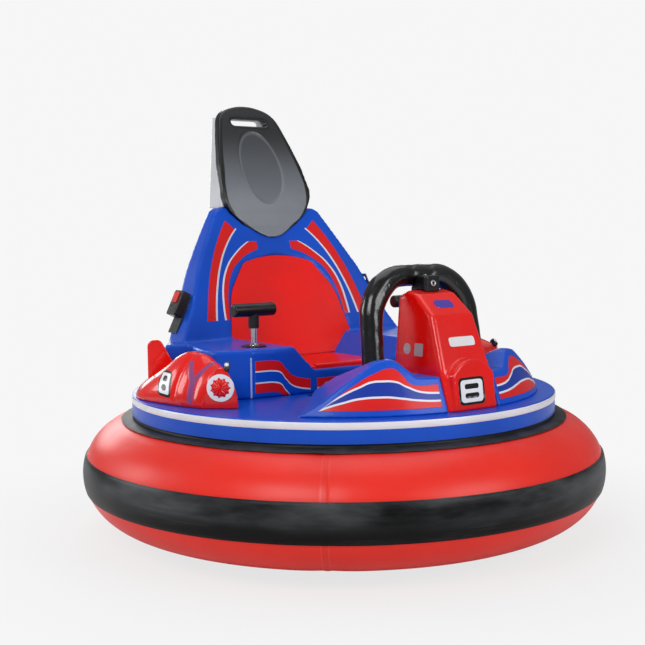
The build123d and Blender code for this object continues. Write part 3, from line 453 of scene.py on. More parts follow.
def band_rubber(place, x, y, z):
    """Rubber wear band, with scuffs dragged along it, smudges where it has met other cars, and a lighter smudgy haze
    painted on its upper half as painted light from above.
    """
    unrolled = result(place.tree, "CombineXYZ", {0: calc("ARCTAN2", y, x) * tube_r, 1: 0.0, 2: z})
    drags = noise_of(unrolled, 40.0, detail=5.0, roughness=0.65, stretch=(0.10, 1.0, 1.6))
    smudges = noise_of(unrolled, 9.0, detail=4.0, stretch=(0.6, 1.0, 1.8))
    scuff = remap(drags, 0.52, 0.72) & remap(smudges, 0.42, 0.66, shape="SMOOTHSTEP")
    # the upper half, which faces the light from above, is painted lighter in smudgy patches: painted light
    lit_upper_half = remap(z, tube_z - LIGHT_FADE_HALF_H, tube_z + LIGHT_FADE_HALF_H, shape="SMOOTHSTEP")
    lit_smudge_haze = remap(smudges, 0.34, 0.72, 0.0, 0.9, shape="SMOOTHSTEP") & lit_upper_half
    return (layered((7, 8, 9), (lit_smudge_haze, (84, 87, 89)), (scuff * 0.4, (92, 93, 92))),
            remap(scuff + smudges, 0.3, 1.4, 0.34, 0.62), fine_grain(place, Scale=420.0) * 0.4 + drags * 0.8, 0.4 * MM)


OVAL_HALF_W, OVAL_HALF_H, OVAL_Z = 0.057, 0.092, 0.844
SLOT_HALF_W, SLOT_HALF_H, SLOT_Z = 0.053, 0.0085, 0.964
HEADREST_EDGE = [(0.668, 0.0), (0.676, 0.034), (0.703, 0.078), (0.736, 0.116), (0.776, 0.130), (0.850, 0.121),
                 (0.910, 0.107), (0.952, 0.0945), (0.984, 0.083), (0.997, 0.060), (1.008, 0.0)]   # height, half width
HEADREST_RIM, SLOT_LIP, RIM_SOFT = 11 * MM, 8 * MM, 2.5 * MM
REFLECTION_FULL_Z, REFLECTION_END_Z = 0.74, 0.95                  # heights between which the painted reflection on the face's lower half fades out, so the face darkens upwards


def headrest_plastic(place, x, y, z):
    """Dark grained plastic of the headrest's face, paler in its lower half by a painted reflection, and black at its
    sides.
    """
    shade, _, height = moulded_skin(place, Cloud_Scale=8.0)
    side_on = remap(parts_of(geometry(place, "Normal"))[0], 0.35, 0.62, 1.0, 0.0)
    front = 1.0 - side_on
    reach = length_of(y / OVAL_HALF_W, (z - OVAL_Z) / OVAL_HALF_H)
    ring = line_at(reach - 1.02, 0.045, 0.05) & front
    dish = remap(reach, 0.97, 1.0, 1.0, 0.0) & front
    side = abs(y)
    rim = above(side - curve_through(z, HEADREST_EDGE), -HEADREST_RIM, RIM_SOFT)
    to_slot = length_of(calc("MAXIMUM", side - (SLOT_HALF_W - SLOT_HALF_H), 0.0), z - SLOT_Z)
    lip = below(to_slot, SLOT_HALF_H + SLOT_LIP, RIM_SOFT)
    # the paler grey over the lower half is a painted reflection that fades out upwards
    tint = layered((36, 38, 40), (remap(z, REFLECTION_FULL_Z, REFLECTION_END_Z, 1.0, 0.0, shape="SMOOTHSTEP"), (128, 132, 138)),
                   (dish * 0.45, (80, 83, 87)), (ring * 0.4, (128, 132, 136)), (shade * 0.14, BLACK),
                   (side_on | rim | lip, (16, 16, 17)))
    return tint, remap(shade, 0.0, 1.0, 0.30, 0.40), fine_grain(place, Scale=800.0) + height * 1.5, 0.10 * MM


def webbing_weave(place, x, y, z):
    """Belt webbing: a coarse weave along the strap."""
    weave = plain_weave(place, Across=x, Along=z, Pitch=1.6 * MM)
    return paint((16, 16, 18), weave, (46, 46, 50)), remap(weave, 0.0, 1.0, 0.8, 0.6), weave, 0.5 * MM


SATIN = {"roughness": 0.34, "coat": 0.15, "coat_roughness": 0.12, "specular": 0.24}
SEMI_GLOSS = {"roughness": 0.3, "coat": 0.25}
PRINT = {"roughness": 0.3, "coat": 0.3, "dust": 0.0, "rub": 0.1}
PRINT_INKS = {"white": (236, 236, 240), "black": (18, 18, 22), "blue": (76, 62, 160), "grey": (176, 150, 152)}
finishes = {
    "tube": new_finish("tube_fabric", TUBE_RED, 0.36, tube_fabric, Specular_IOR_Level=0.35, Coat_Weight=0.08,
                       Coat_Roughness=0.25),
    "band": new_finish("band_rubber", (26, 28, 29), 0.42, band_rubber, Specular_IOR_Level=0.18),
    "skirt": grained("skirt_rubber", (30, 31, 32), 0.45, 500.0, 0.2 * MM, Specular_IOR_Level=0.22),
    "seat": moulded("seat_moulding", BLUE, marks=seat_marks, ridge=0.5 * MM, **SATIN),
    "fender": moulded("fender_moulding", BLUE, marks=fender_marks, ridge=0.8 * MM, **SATIN),
    "red": moulded("red_moulding", RED),
    "pod": moulded("pod_moulding", RED, marks=pod_marks, ridge=0.3 * MM),
    "liner": moulded("liner_moulding", BRIGHT_RED, rub=0.0, dust=0.0, **SEMI_GLOSS),
    "pan": moulded("pan_moulding", BRIGHT_RED, rub=0.0, dust=0.05, **SEMI_GLOSS),
    "deck": moulded("deck_moulding", BLUE, rub=0.0, dust=0.0, **SATIN),
    "white": moulded("white_trim", WHITE, roughness=0.25, coat=0.4, dust=0.2),
    "pale": moulded("pale_moulding", (206, 208, 210), dust=0.2, **SEMI_GLOSS),
    "pad": grained("bar_skin", (20, 20, 21), 0.24, 260.0, Coat_Weight=0.35, Coat_Roughness=0.12),
    "black": grained("black_plastic", (20, 20, 22), 0.34, 900.0, 0.08 * MM, rub=0.15),
    "headrest": new_finish("headrest_plastic", (62, 65, 66), 0.34, headrest_plastic, Specular_IOR_Level=0.6,
                           Coat_Weight=0.2, Coat_Roughness=0.25),
    "mat": grained("mat_rubber", (40, 40, 42), 0.7, 300.0, 0.3 * MM),
    "chrome": metal("stem_chrome", (226, 228, 232), 0.12),
    "zinc": metal("zinc_steel", (176, 178, 180), 0.34, (140, 136, 128)),
    "frame": grained("powder_coat", (30, 31, 33), 0.42, 700.0, worn=(120, 116, 110)),
    "webbing": new_finish("webbing_weave", (26, 26, 28), 0.7, webbing_weave, Sheen_Weight=0.25),
    "battery": grained("battery_case", (58, 62, 70), 0.55, 500.0, 0.15 * MM),
    "motor": grained("motor_paint", (92, 94, 98), 0.4, 600.0),
    "rim": grained("rim_plastic", (150, 152, 154), 0.4, 800.0),
    "tyre": grained("tyre_rubber", (30, 30, 31), 0.72, 350.0, 0.3 * MM, rub=0.4, worn=(84, 82, 78)),
    "castor": grained("castor_tread", (60, 61, 63), 0.5, 600.0),
    "button": moulded("button_plastic", (226, 46, 34), roughness=0.28, rub=0.0),
    "bolt": metal("bolt_steel", (190, 192, 196), 0.28),
    "thread": grained("belt_thread", (78, 78, 84), 0.8, 900.0, 0.05 * MM, rub=0.1),
}
for ink, tone in PRINT_INKS.items():
    finishes[f"print {ink}"] = moulded(f"print_{ink}", tone, **PRINT)

# What the CAD solids that show as they are wear.
cad_finishes = [("deck", ["deck_pan"]), ("pan", ["seat_pan"]), ("liner", ["seat_liner"]), ("mat", ["floor_mat"]),
                ("black", ["tube_valve", "bar_clamp", "belt_buckle", "charge_socket"]), ("white", ["trim_strip"]),
                ("zinc", ["belt_tongue"]), ("frame", ["chassis_pan", "chassis_frame"]), ("battery", ["battery"]),
                ("button", ["buckle_button"])]
for end in ("front", "rear"):
    cad_finishes += [("zinc", [f"castor_plate_{end}", f"castor_fork_{end}"]), ("castor", [f"castor_wheel_{end}"])]
for side in SIDES:
    cad_finishes += [("black", [f"stick_socket_{side}", f"stick_handle_{side}"]), ("chrome", [f"stick_stem_{side}"]),
                     ("webbing", [f"belt_strap_{side}"]), ("motor", [f"motor_{side}"]), ("rim", [f"drive_rim_{side}"])]
for finish, names in cad_finishes:
    for name in names:
        nodes[name].data.materials.clear()
        nodes[name].data.materials.append(finishes[finish])


# ---- mesh helpers
def link_piece(name, mesh, finish, body="hull", slot=None, sharp=35, stands_for=()):
    """A finished piece that rides on a body, with smooth faces and sharp edges over the angle."""
    piece = scratch_object(name, mesh)
    mesh.materials.clear()
    mesh.materials.append(finishes[finish])
    mesh.polygons.foreach_set("use_smooth", [True] * len(mesh.polygons))
    if sharp:
        mesh.set_sharp_from_angle(angle=radians(sharp))
    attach(piece, body)
    if stands_for:
        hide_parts(*stands_for)
    return piece


def scratch_object(name, data):
    made = bpy.data.objects.new(name, data)
    bpy.context.scene.collection.objects.link(made)
    return made


def evaluated(source, name):
    """A plain mesh of an object with its modifiers applied; the object is removed."""
    mesh = bpy.data.meshes.new_from_object(source.evaluated_get(bpy.context.evaluated_depsgraph_get()))
    mesh.name = name
    bpy.data.objects.remove(source)
    return mesh


def mesh_of(name, bm):
    bmesh.ops.recalc_face_normals(bm, faces=bm.faces)
    mesh = bpy.data.meshes.new(name)
    bm.to_mesh(mesh)
    bm.free()
    return mesh


def soft_piece(name, cad_names, voxel, passes, finish, slot, shape=None):
    """The CAD solids as one skin whose edges are rounded over; shape(point, normal) moves its points."""
    bm = bmesh.new()
    for cad in cad_names:
        bm.from_mesh(nodes[cad].data)
    bmesh.ops.remove_doubles(bm, verts=bm.verts, dist=0.01 * MM)
    source = bpy.data.meshes.new(name)
    bm.to_mesh(source)
    bm.free()
    skin = scratch_object(name, source)
    remesh = skin.modifiers.new("skin", "REMESH")
    remesh.mode, remesh.voxel_size, remesh.use_smooth_shade = "VOXEL", voxel * MM, True
    relax = skin.modifiers.new("relax", "SMOOTH")
    relax.factor, relax.iterations = 0.5, passes
    mesh = evaluated(skin, name)
    if shape:
        moves = [shape(v.co, v.normal) for v in mesh.vertices]
        for vertex, move in zip(mesh.vertices, moves):
            vertex.co += move
    return link_piece(name, mesh, finish, slot=slot, sharp=0, stands_for=cad_names)


def polar(angle, reach=1.0, z=0.0):
    return reach * cos(angle), reach * sin(angle), z


def loft(name, rows, ring=False):
    """A mesh through closed rows of points: a ring of rows, or rows with both ends capped.  Equal points are one."""
    bm = bmesh.new()
    spots = {point: bm.verts.new(point) for point in dict.fromkeys(p for row in rows for p in row)}
    rows = [[spots[point] for point in row] for row in rows]
    for row, after in zip(rows, rows[1:] + rows[:ring]):
        for a, b, c, d in zip(row, row[1:] + row[:1], after[1:] + after[:1], after):
            bm.faces.new(dict.fromkeys((a, b, c, d)))
    for cap in [] if ring else [row for row in (rows[0], rows[-1]) if len(set(row)) > 2]:
        bm.faces.new(cap)
    return mesh_of(name, bm)


def lathe(name, section, angles):
    """A ring turned round the Z axis from a closed section of (radius, height) points."""
    return loft(name, [[polar(angle, r, z) for r, z in section] for angle in angles], ring=True)


def even_angles(count):
    return [2 * pi * i / count for i in range(count)]


def arc_points(centre_r, centre_z, radius, first, last, count):
    """Points round an arc, angles in degrees."""
    spots = [polar(radians(first + (last - first) * i / (count - 1)), radius) for i in range(count)]
    return [(centre_r + u, centre_z + v) for u, v, _ in spots]


def box_loop(half_w, half_h, radius, centre_v=0.0, slant=0.0, steps=5):
    """A closed outline of a box whose corners are short curves; slant leans it over."""
    corners = [Vector((u * half_w, centre_v + v * half_h)) for u, v in ((-1, -1), (1, -1), (1, 1), (-1, 1))]
    loop = []
    for i, here in enumerate(corners):
        arms = [corners[i - 1] - here, corners[(i + 1) % 4] - here]
        start, end = [here + arm.normalized() * min(radius, arm.length / 2) for arm in arms]
        for t in [k / steps for k in range(steps + 1)]:
            u, v = start * (1 - t) ** 2 + here * 2 * t * (1 - t) + end * t ** 2
            loop.append((u + slant * v, v))
    return loop


def oval_loop(radius, count, wave=0.0, waves=0):
    """A circle, or with waves a scalloped one."""
    return [polar(t, radius + wave * cos(waves * t))[:2] for t in even_angles(count)]


def flat_shape(loops):
    """A flat mesh, ready to edit, bounded by closed loops; a loop inside another is a hole."""
    curve = bpy.data.curves.new("outline", "CURVE")
    curve.dimensions, curve.fill_mode = "2D", "BOTH"
    for loop in loops:
        line = curve.splines.new("POLY")
        line.points.add(len(loop) - 1)
        for point, (u, v) in zip(line.points, loop):
            point.co = (u, v, 0.0, 1.0)
        line.use_cyclic_u = True
    flat = evaluated(scratch_object("outline", curve), "outline")
    bm = bmesh.new()
    bm.from_mesh(flat)
    bpy.data.meshes.remove(flat)
    return bm


def extruded(bm):
    """The points of a second sheet that closes walls on a flat mesh."""
    made = bmesh.ops.extrude_face_region(bm, geom=bm.faces[:], use_keep_orig=True)["geom"]
    return {v for v in made if isinstance(v, bmesh.types.BMVert)}


def slab(loops, thickness):
    """A closed slab of flat loops, from the XY plane down."""
    bm = flat_shape(loops)
    for vertex in extruded(bm):
        vertex.co.z -= thickness
    return mesh_of("slab", bm)


def mirrored(point, sign):
    """A place or direction given for the left side, on either side."""
    return point[0], sign * point[1], point[2]


def basis(origin, out):
    """A frame whose third axis points out and whose second leans upwards."""
    w = Vector(out).normalized()
    u = Vector((0.0, 0.0, 1.0)).cross(w).normalized()
    return Matrix.Translation(Vector(origin)) @ Matrix((u, w.cross(u), w)).transposed().to_4x4()


PRINT_CUT, PRINT_SINK, PRINT_START = 4 * MM, 1.2 * MM, 0.12


def print_on(name, loops, frame_at, host, finish, slot, lift):
    """A thin raised mark cut to flat loops and laid on the host piece's surface."""
    bm = flat_shape(loops)
    for axis in (0, 1):
        reach = [v.co[axis] for v in bm.verts]
        spot = min(reach) + PRINT_CUT
        while spot < max(reach):
            whole = bm.verts[:] + bm.edges[:] + bm.faces[:]
            at = Vector((1 - axis, axis, 0)) * spot
            bmesh.ops.bisect_plane(bm, geom=whole, plane_co=at, plane_no=at.normalized())
            spot += PRINT_CUT
    surface = BVHTree.FromObject(host, bpy.context.evaluated_depsgraph_get())
    out = frame_at.to_3x3() @ Vector((0, 0, 1))
    for vertex in bm.verts:
        start = frame_at @ Vector((vertex.co.x, vertex.co.y, PRINT_START))
        hit = surface.ray_cast(start, -out)[0]
        vertex.co = (hit if hit else frame_at @ vertex.co)
    raised = extruded(bm)
    for vertex in bm.verts:
        vertex.co += out * (lift if vertex in raised else -PRINT_SINK)
    return link_piece(name, mesh_of(name, bm), finish, slot=slot, sharp=40)


# ---- tube, band, skirt and deck edge
FINE_STEP, SEAM_REACH, COARSE_STEP = 0.25, 3.0, 1.25      # degrees
LAP_H, DIP_H, DIP_W = 0.8 * MM, 1.4 * MM, 30 * MM


def seam_angles():
    """Angles round the tube, close together by the welded seams."""
    pitch = 360 / TUBE_PANELS
    turns, turn = [], 0.0
    while turn < 360 - 1e-6:
        turns.append(radians(turn - 180) + SEAM_TURN)
        off = abs((turn / pitch) % 1.0 - 0.5) * pitch
        turn += FINE_STEP if off < SEAM_REACH else COARSE_STEP
    return turns


def seam_profile(angle):
    """How far the skin stands off near a welded seam: a lap's thickness, in a shallow dip."""
    pitch = 2 * pi / TUBE_PANELS
    off = (((angle + pi - SEAM_TURN) / pitch) % 1.0 - 0.5) * pitch * tube_r
    lap = LAP_H if abs(off) < LAP_HALF_W else 0.0
    return lap - DIP_H * exp(-(off / DIP_W) ** 2)


def turned_points(mesh):
    """The points of a mesh, each with its angle round Z."""
    return [(vertex, atan2(vertex.co.y, vertex.co.x)) for vertex in mesh.vertices]


def tube_arc(radius, first, last, count):
    return arc_points(tube_r, tube_z, radius, first, last, count)


tube_mesh = lathe("tube_skin", tube_arc(tube_section_r, 0, 360, 73)[:-1], seam_angles())
for vertex, angle in turned_points(tube_mesh):
    vertex.co += (vertex.co - Vector(polar(angle, tube_r, tube_z))).normalized() * (seam_profile(angle) - LAP_H)
link_piece("tube_skin", tube_mesh, "tube", slot="red_tube", sharp=0, stands_for=["bumper_tube"])

BAND_EDGE, BAND_WAVE, BAND_INSET = 0.9 * MM, 0.5 * MM, 0.5 * MM
WAVES_ROUND, WAVES_UP, DIP_SHARE = 9, 14, 0.7      # the share of the tube's dips that the band follows
band_half = middle_of("wear_band")[1]
band_r, band_half_h = band_half.x - tube_r, band_half.z
band_reach = degrees(atan2(band_half_h, sqrt(band_r ** 2 - band_half_h ** 2)))
band_section = (tube_arc(band_r - BAND_EDGE, -band_reach, -band_reach + 0.8, 3)
                + tube_arc(band_r, -band_reach + 1.6, band_reach - 1.6, 17)
                + tube_arc(band_r - BAND_EDGE, band_reach - 0.8, band_reach, 3)
                + tube_arc(tube_section_r - 2 * MM, band_reach, -band_reach, 5))
band_mesh = lathe("band_skin", band_section, seam_angles())
for vertex, angle in turned_points(band_mesh):
    wave = noise.noise(polar(angle, WAVES_ROUND, vertex.co.z * WAVES_UP)) * BAND_WAVE
    vertex.co += Vector(polar(angle)) * (min(0.0, seam_profile(angle)) * DIP_SHARE + wave - BAND_INSET)
link_piece("band_skin", band_mesh, "band", slot="black_band", sharp=50, stands_for=["wear_band"])

FLAP_H, FLAP_THICK, FLAP_ROOT, FLAP_REACH = 3.2 * MM, 1.4 * MM, 6 * MM, 22 * MM
SKIRT_WAVE, SKIRT_WAVES = 1.2 * MM, 14
skirt_high, deck_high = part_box("tube_skirt")[1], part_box("deck_pan")[1]
skirt_in = deck_high.x - 8 * MM
flap_r = tube_section_r + FLAP_H
flap_reach = degrees(atan2(sqrt(flap_r ** 2 - (skirt_high.x - tube_r) ** 2), skirt_high.x - tube_r))
skirt_section = (tube_arc(flap_r, flap_reach + 2.5, 88.2, 9)
                 + [(skirt_in + 3.6 * MM, tube_z + flap_r + 2 * MM), (skirt_in + 3.2 * MM, tube_z + flap_r + 6 * MM),
                    (skirt_in + 3.2 * MM, skirt_high.z), (skirt_in, skirt_high.z)]
                 + tube_arc(tube_section_r + 0.3 * MM, 96, flap_reach + 1.2, 10)
                 + tube_arc(flap_r - FLAP_THICK, flap_reach + 0.8, flap_reach + 1.2, 2))
skirt_mesh = lathe("skirt_skin", skirt_section, even_angles(240))
for vertex, angle in turned_points(skirt_mesh):
    out = max(0.0, (hypot(vertex.co.x, vertex.co.y) - skirt_in - FLAP_ROOT) / FLAP_REACH)
    vertex.co.z += SKIRT_WAVE * min(1.0, out) * noise.noise(polar(angle, SKIRT_WAVES))
link_piece("skirt_skin", skirt_mesh, "skirt", slot="dark_skirt", sharp=50, stands_for=["tube_skirt"])

STRIP_LAP = 1.6 * MM          # the strip's soft edges lie over the deck's rim
strip_mid, strip_half = middle_of("trim_strip")
strip_r, strip_z, strip_half_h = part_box("trim_strip")[1].x, strip_mid.z, strip_half.z + STRIP_LAP
strip_side = [(deck_high.x - 1 * MM, strip_half_h), (strip_r - 0.9 * MM, strip_half_h),
              (strip_r - 0.2 * MM, strip_half_h - 1.2 * MM)]
strip_section = ([(r, strip_z - h) for r, h in strip_side] + [(strip_r, strip_z)]
                 + [(r, strip_z + h) for r, h in reversed(strip_side)])
link_piece("trim_bead", lathe("trim_bead", strip_section, even_angles(256)), "white", slot="white_trim",
           stands_for=["trim_strip"])

# ---- mouldings on the deck
seat_shell = soft_piece("seat_shell", ["seat_pedestal", "seat_back"], 4.2, 6, "seat", "blue_shell")
console = soft_piece("console_shell", ["front_console", "number_pod"], 2.6, 7, "red", "red_shell")

POD_FOLDS = [(82.0, 1.1, -2.2), (85.5, 1.2, 1.8), (89.0, 1.0, -2.0), (79.0, 1.0, 1.2)]   # angle, half width, rise
POD_FOOT_Z, FOLD_FADE, FOLD_SHARE, POD_TOP_FACING = 0.328, 0.02, 0.4, 0.3
POD_BELLY_Z, BELLY_TURN, BELLY_SPREAD, BELLY_DIP = 0.375, 100, 5, 2.0 * MM


def pod_shape(point, normal):
    """Upright folds that run over the pod behind its front face."""
    turn = degrees(atan2(abs(point.y), point.x))
    rise = sum(height * MM * exp(-((turn - at) / wide) ** 2) for at, wide, height in POD_FOLDS)
    reach = min(1.0, max(0.0, (point.z - POD_FOOT_Z) / FOLD_FADE))
    dip = BELLY_DIP * exp(-((turn - BELLY_TURN) / BELLY_SPREAD) ** 2) if point.z > POD_BELLY_Z else 0.0
    outward = normal.x * point.x + normal.y * point.y > 0 or normal.z > POD_TOP_FACING
    return normal * ((min(rise, 0.0) - dip + max(0.0, rise) * FOLD_SHARE) * reach * outward)


side_pods = {}
for side in SIDES:
    side_pods[side] = soft_piece(f"pod_shell_{side}", [f"side_pod_{side}"], 2.6, 7, "pod", "red_shell", pod_shape)
    soft_piece(f"fin_blade_{side}", [f"pod_fin_{side}"], 1.5, 16, "red", "red_shell")
    soft_piece(f"fender_shell_{side}", [f"front_fender_{side}"], 2.6, 6, "fender", "blue_shell")

CREASE_Z, CREASE_REACH, CREASE_SLOPE = 0.79, 0.06, 0.44
TIP_Z, TIP_REACH, TIP_PROUD = 0.73, 0.05, 6 * MM
FACING_GAIN, FACING_START = 3, 0.6


def face_shape(point, normal):
    """The headrest's face bends over its crease in an even curve, and its tip stands off the seat back."""
    near = max(0.0, CREASE_REACH - abs(point.z - CREASE_Z))
    facing = min(1.0, max(0.0, FACING_GAIN * normal.x - FACING_START))
    tip = min(1.0, max(0.0, (TIP_Z - point.z) / TIP_REACH))
    return Vector((TIP_PROUD * tip - CREASE_SLOPE / (4 * CREASE_REACH) * near ** 2 * facing, 0, 0))


soft_piece("headrest_face", ["headrest_plate"], 1.9, 6, "headrest", "grey_plastic", face_shape)
soft_piece("headrest_shell", ["headrest_housing"], 2.0, 12, "pale", "pale_plastic")

# ---- grab bar
BAR_R, SLACK, RIPPLE_SCALE = 24 * MM, 0.7 * MM, 38.0
BEND_Y, BEND_Z, BEND_REACH, BEND_SWELL = 0.100, 0.555, 0.045, 10 * MM      # the padding bunches up inside the bends
GATHER_Y, GATHER_W, GATHER_H, GATHERS, GATHER_EVEN = 26 * MM, 9 * MM, 1.6 * MM, 9, 0.6
bar_low, bar_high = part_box("grab_bar")
crown_x, crown_z = bar_low.x + BAR_R, bar_high.z - BAR_R


def bar_shape(point, normal):
    """The padded skin: slack ripples everywhere, and gathers pinched in beside the clamp."""
    ripple = noise.noise(point * RIPPLE_SCALE) * SLACK
    beside = exp(-((abs(point.y) - GATHER_Y) / GATHER_W) ** 2)
    bend = exp(-((abs(point.y) - BEND_Y) / BEND_REACH) ** 2 - ((point.z - BEND_Z) / BEND_REACH) ** 2)
    inside = Vector((0.0, -copysign(BEND_Y, point.y), crown_z - BEND_REACH - point.z)).normalized()
    pinch = sin(atan2(point.z - crown_z, point.x - crown_x) * GATHERS)
    gather = -GATHER_H * beside * (GATHER_EVEN + (1 - GATHER_EVEN) * pinch)
    return normal * (ripple - SLACK + gather + BEND_SWELL * bend * max(0.0, normal.dot(inside)))


padding = soft_piece("bar_padding", ["grab_bar"], 2.4, 4, "pad", "black_pad", bar_shape)
clamp = soft_piece("clamp_body", ["bar_clamp"], 1.6, 22, "black", "black_plastic")

# ---- numbers, labels and small fittings
NUMBER_HALF_H, NUMBER_RIM = 22.5 * MM, 5 * MM
NOSE_NUMBER, POD_NUMBER = (30 * MM, 8 * MM, 0.0), (17 * MM, 6.5 * MM, -0.30)      # half width, stroke, slant
NOSE_NUMBER_AT = (0.50, -0.0095, 0.3615)
POD_NUMBER_TURN, POD_NUMBER_REACH, POD_NUMBER_Z, POD_LEAN = radians(94.0), 0.434, 0.359, 0.45


def number_on(name, host, origin, out, half_w, stroke, slant):
    """A white squared figure eight on a black backing, laid on a moulding."""
    at = basis(origin, out)
    backing = box_loop(half_w + NUMBER_RIM, NUMBER_HALF_H + NUMBER_RIM, 12 * MM, slant=slant)
    print_on(f"{name}_backing", [backing], at, host, "print black", "black_plastic", 0.5 * MM)
    hole_h = (2 * NUMBER_HALF_H - 3 * stroke) / 4
    figure = [box_loop(half_w, NUMBER_HALF_H, 0.3 * half_w, slant=slant)]
    figure += [box_loop(half_w - 1.35 * stroke, hole_h, hole_h, at_v, slant)
               for at_v in (-hole_h - stroke / 2, hole_h + stroke / 2)]
    print_on(f"{name}_figure", figure, at, host, "print white", "white_trim", 0.9 * MM)


number_on("nose_number", console, NOSE_NUMBER_AT, (1, 0, 0), *NOSE_NUMBER)
for side, sign in SIDES.items():
    number_on(f"pod_number_{side}", side_pods[side], polar(sign * POD_NUMBER_TURN, POD_NUMBER_REACH, POD_NUMBER_Z),
              polar(sign * POD_NUMBER_TURN, z=POD_LEAN), *POD_NUMBER)

LABELS = [     # name, host, place, which way it faces, half width, half height, corner, finish, slot
    ("nose_label", console, (0.399, 0.005, 0.457), (0.935, 0, 0.354), 35, 10, 7, "print white", "white_trim"),
    ("slope_label", console, (0.353, -0.003, 0.532), (0.629, 0, 0.778), 25, 12, 11, "print blue", "blue_shell"),
    ("console_badge_right", console, (0.345, -0.068, 0.440), (0, -1, 0), 13, 13, 3, "print grey", "pale_plastic"),
    ("console_dot_right", console, (0.309, -0.068, 0.440), (0, -1, 0), 11, 11, 11, "print grey", "pale_plastic"),
    ("riser_label", seat_shell, (0.044, 0.0, 0.333), (1, 0, 0), 84, 12, 5, "print grey", "pale_plastic"),
]
for name, host, place, out, half_w, half_h, corner, finish, slot in LABELS:
    print_on(name, [box_loop(half_w * MM, half_h * MM, corner * MM)], basis(place, out), host, finish, slot, 0.35 * MM)

# The lamp-like disc on each pod's front face: a scalloped white ring round a ribbed red dome.
DISC_R, DISC_RIM, DISC_SCALLOPS, SCALLOP_H = 28.5 * MM, 9.5 * MM, 11, 2.6 * MM
DISC_THICK, DISC_PROUD = 4 * MM, 2 * MM
DOME_R, DOME_RISE, DOME_RIBS, RIB_H = 20 * MM, 6 * MM, 12, 0.9 * MM
FACE_AT, FACE_OUT = (0.1075, 0.3955, 0.366), (0.763, 0.647)


def ribbed_dome(radius, rise, ribs, rib_depth, rings=8, turns=96):
    """A closed dome on the XY plane with ribs that run out from its middle."""
    levels = [(radius * t, rise * sqrt(max(0.0, 1 - t ** 2)), rib_depth * sin(pi * t))
              for t in [i / rings for i in range(1, rings + 1)]] + [(radius, -2 * MM, 0.0)]
    rows = [[polar(a, r, z + rib * cos(ribs * a)) for a in even_angles(turns)] for r, z, rib in levels]
    return loft("dome", [[(0.0, 0.0, rise)] * turns] + rows)


for side, sign in SIDES.items():
    at = basis(mirrored(FACE_AT, sign), mirrored((*FACE_OUT, 0), sign))
    ring_mesh = slab([oval_loop(DISC_R, 72), oval_loop(DISC_R - DISC_RIM, 99, SCALLOP_H, DISC_SCALLOPS)], DISC_THICK)
    ring_mesh.transform(at @ Matrix.Translation((0, 0, DISC_PROUD)))
    link_piece(f"disc_ring_{side}", ring_mesh, "print white", slot="white_trim", sharp=40)
    dome_mesh = ribbed_dome(DOME_R, DOME_RISE, DOME_RIBS, RIB_H)
    dome_mesh.transform(at)
    link_piece(f"disc_dome_{side}", dome_mesh, "red", slot="red_shell", sharp=50)


# ---- what repeats, by Geometry Nodes
def copies_tree(name, sockets, lay_out):
    """A Geometry Nodes tree that copies its object's shape: lay_out(tree, given) returns the points and the turns."""
    tree = bpy.data.node_groups.new(name, "GeometryNodeTree")
    for key, kind in {"Geometry": "Geometry", **sockets, "Finish": "Material"}.items():
        tree.interface.new_socket(key, in_out="INPUT", socket_type=f"NodeSocket{kind}")
    tree.interface.new_socket("Geometry", in_out="OUTPUT", socket_type="NodeSocketGeometry")
    given = {socket.name: Value(socket) for socket in tree.nodes.new("NodeGroupInput").outputs}
    points, turns = lay_out(tree, given)
    laid = result(tree, "GeometryNodeInstanceOnPoints",
                  {"Points": points, "Instance": given["Geometry"], "Rotation": turns})
    real = result(tree, "GeometryNodeRealizeInstances", {0: laid})
    done = result(tree, "GeometryNodeSetMaterial", {"Geometry": real, "Material": given["Finish"]})
    link(done, tree.nodes.new("NodeGroupOutput").inputs[0])
    return tree


def ring_layout(tree, given):
    """Points evenly round Z; each copy turns with its place."""
    ring = result(tree, "GeometryNodeMeshCircle", {"Vertices": given["Count"], "Radius": given["Radius"]})
    turn = result(tree, "GeometryNodeInputIndex") * (2 * pi / given["Count"])
    around_z = result(tree, "CombineXYZ", {2: turn})
    return ring, result(tree, "FunctionNodeEulerToRotation", {0: around_z})


def grid_layout(tree, given):
    """Points in columns and rows, each a little out of place by its own random step."""
    grid = result(tree, "GeometryNodeMeshGrid", {"Size X": given["Length"], "Size Y": given["Width"],
                                                 "Vertices X": given["Columns"], "Vertices Y": given["Rows"]})
    spread = result(tree, "FunctionNodeRandomValue", {"Min": (-1.0, -1.0, 0.0), "Max": (1.0, 1.0, 0.0),
                                                      "Seed": given["Seed"]}, data_type="FLOAT_VECTOR")
    step = result(tree, "VectorMath", {0: spread, "Scale": given["Jitter"]}, operation="SCALE")
    points = result(tree, "GeometryNodeSetPosition", {"Geometry": grid, "Offset": step})
    return points, result(tree, "FunctionNodeEulerToRotation")


ring_of_parts = copies_tree("ring_of_parts", {"Count": "Int", "Radius": "Float"}, ring_layout)
grid_of_parts = copies_tree("grid_of_parts", {"Length": "Float", "Width": "Float", "Columns": "Int", "Rows": "Int",
                                              "Jitter": "Float", "Seed": "Int"}, grid_layout)


def repeated(name, tree, shape, finish, slot, place, body="hull", **values):
    """A piece made of copies of a small mesh; place puts the layout on the car."""
    holder = scratch_object(name, shape)
    growth = holder.modifiers.new("copies", "NODES")
    growth.node_group = tree
    values["Finish"] = finishes[finish]
    for socket in tree.interface.items_tree:
        if socket.in_out == "INPUT" and socket.name in values:
            growth[socket.identifier] = values[socket.name]
    mesh = evaluated(holder, name)
    mesh.transform(place)
    return link_piece(name, mesh, finish, body, slot, sharp=30)


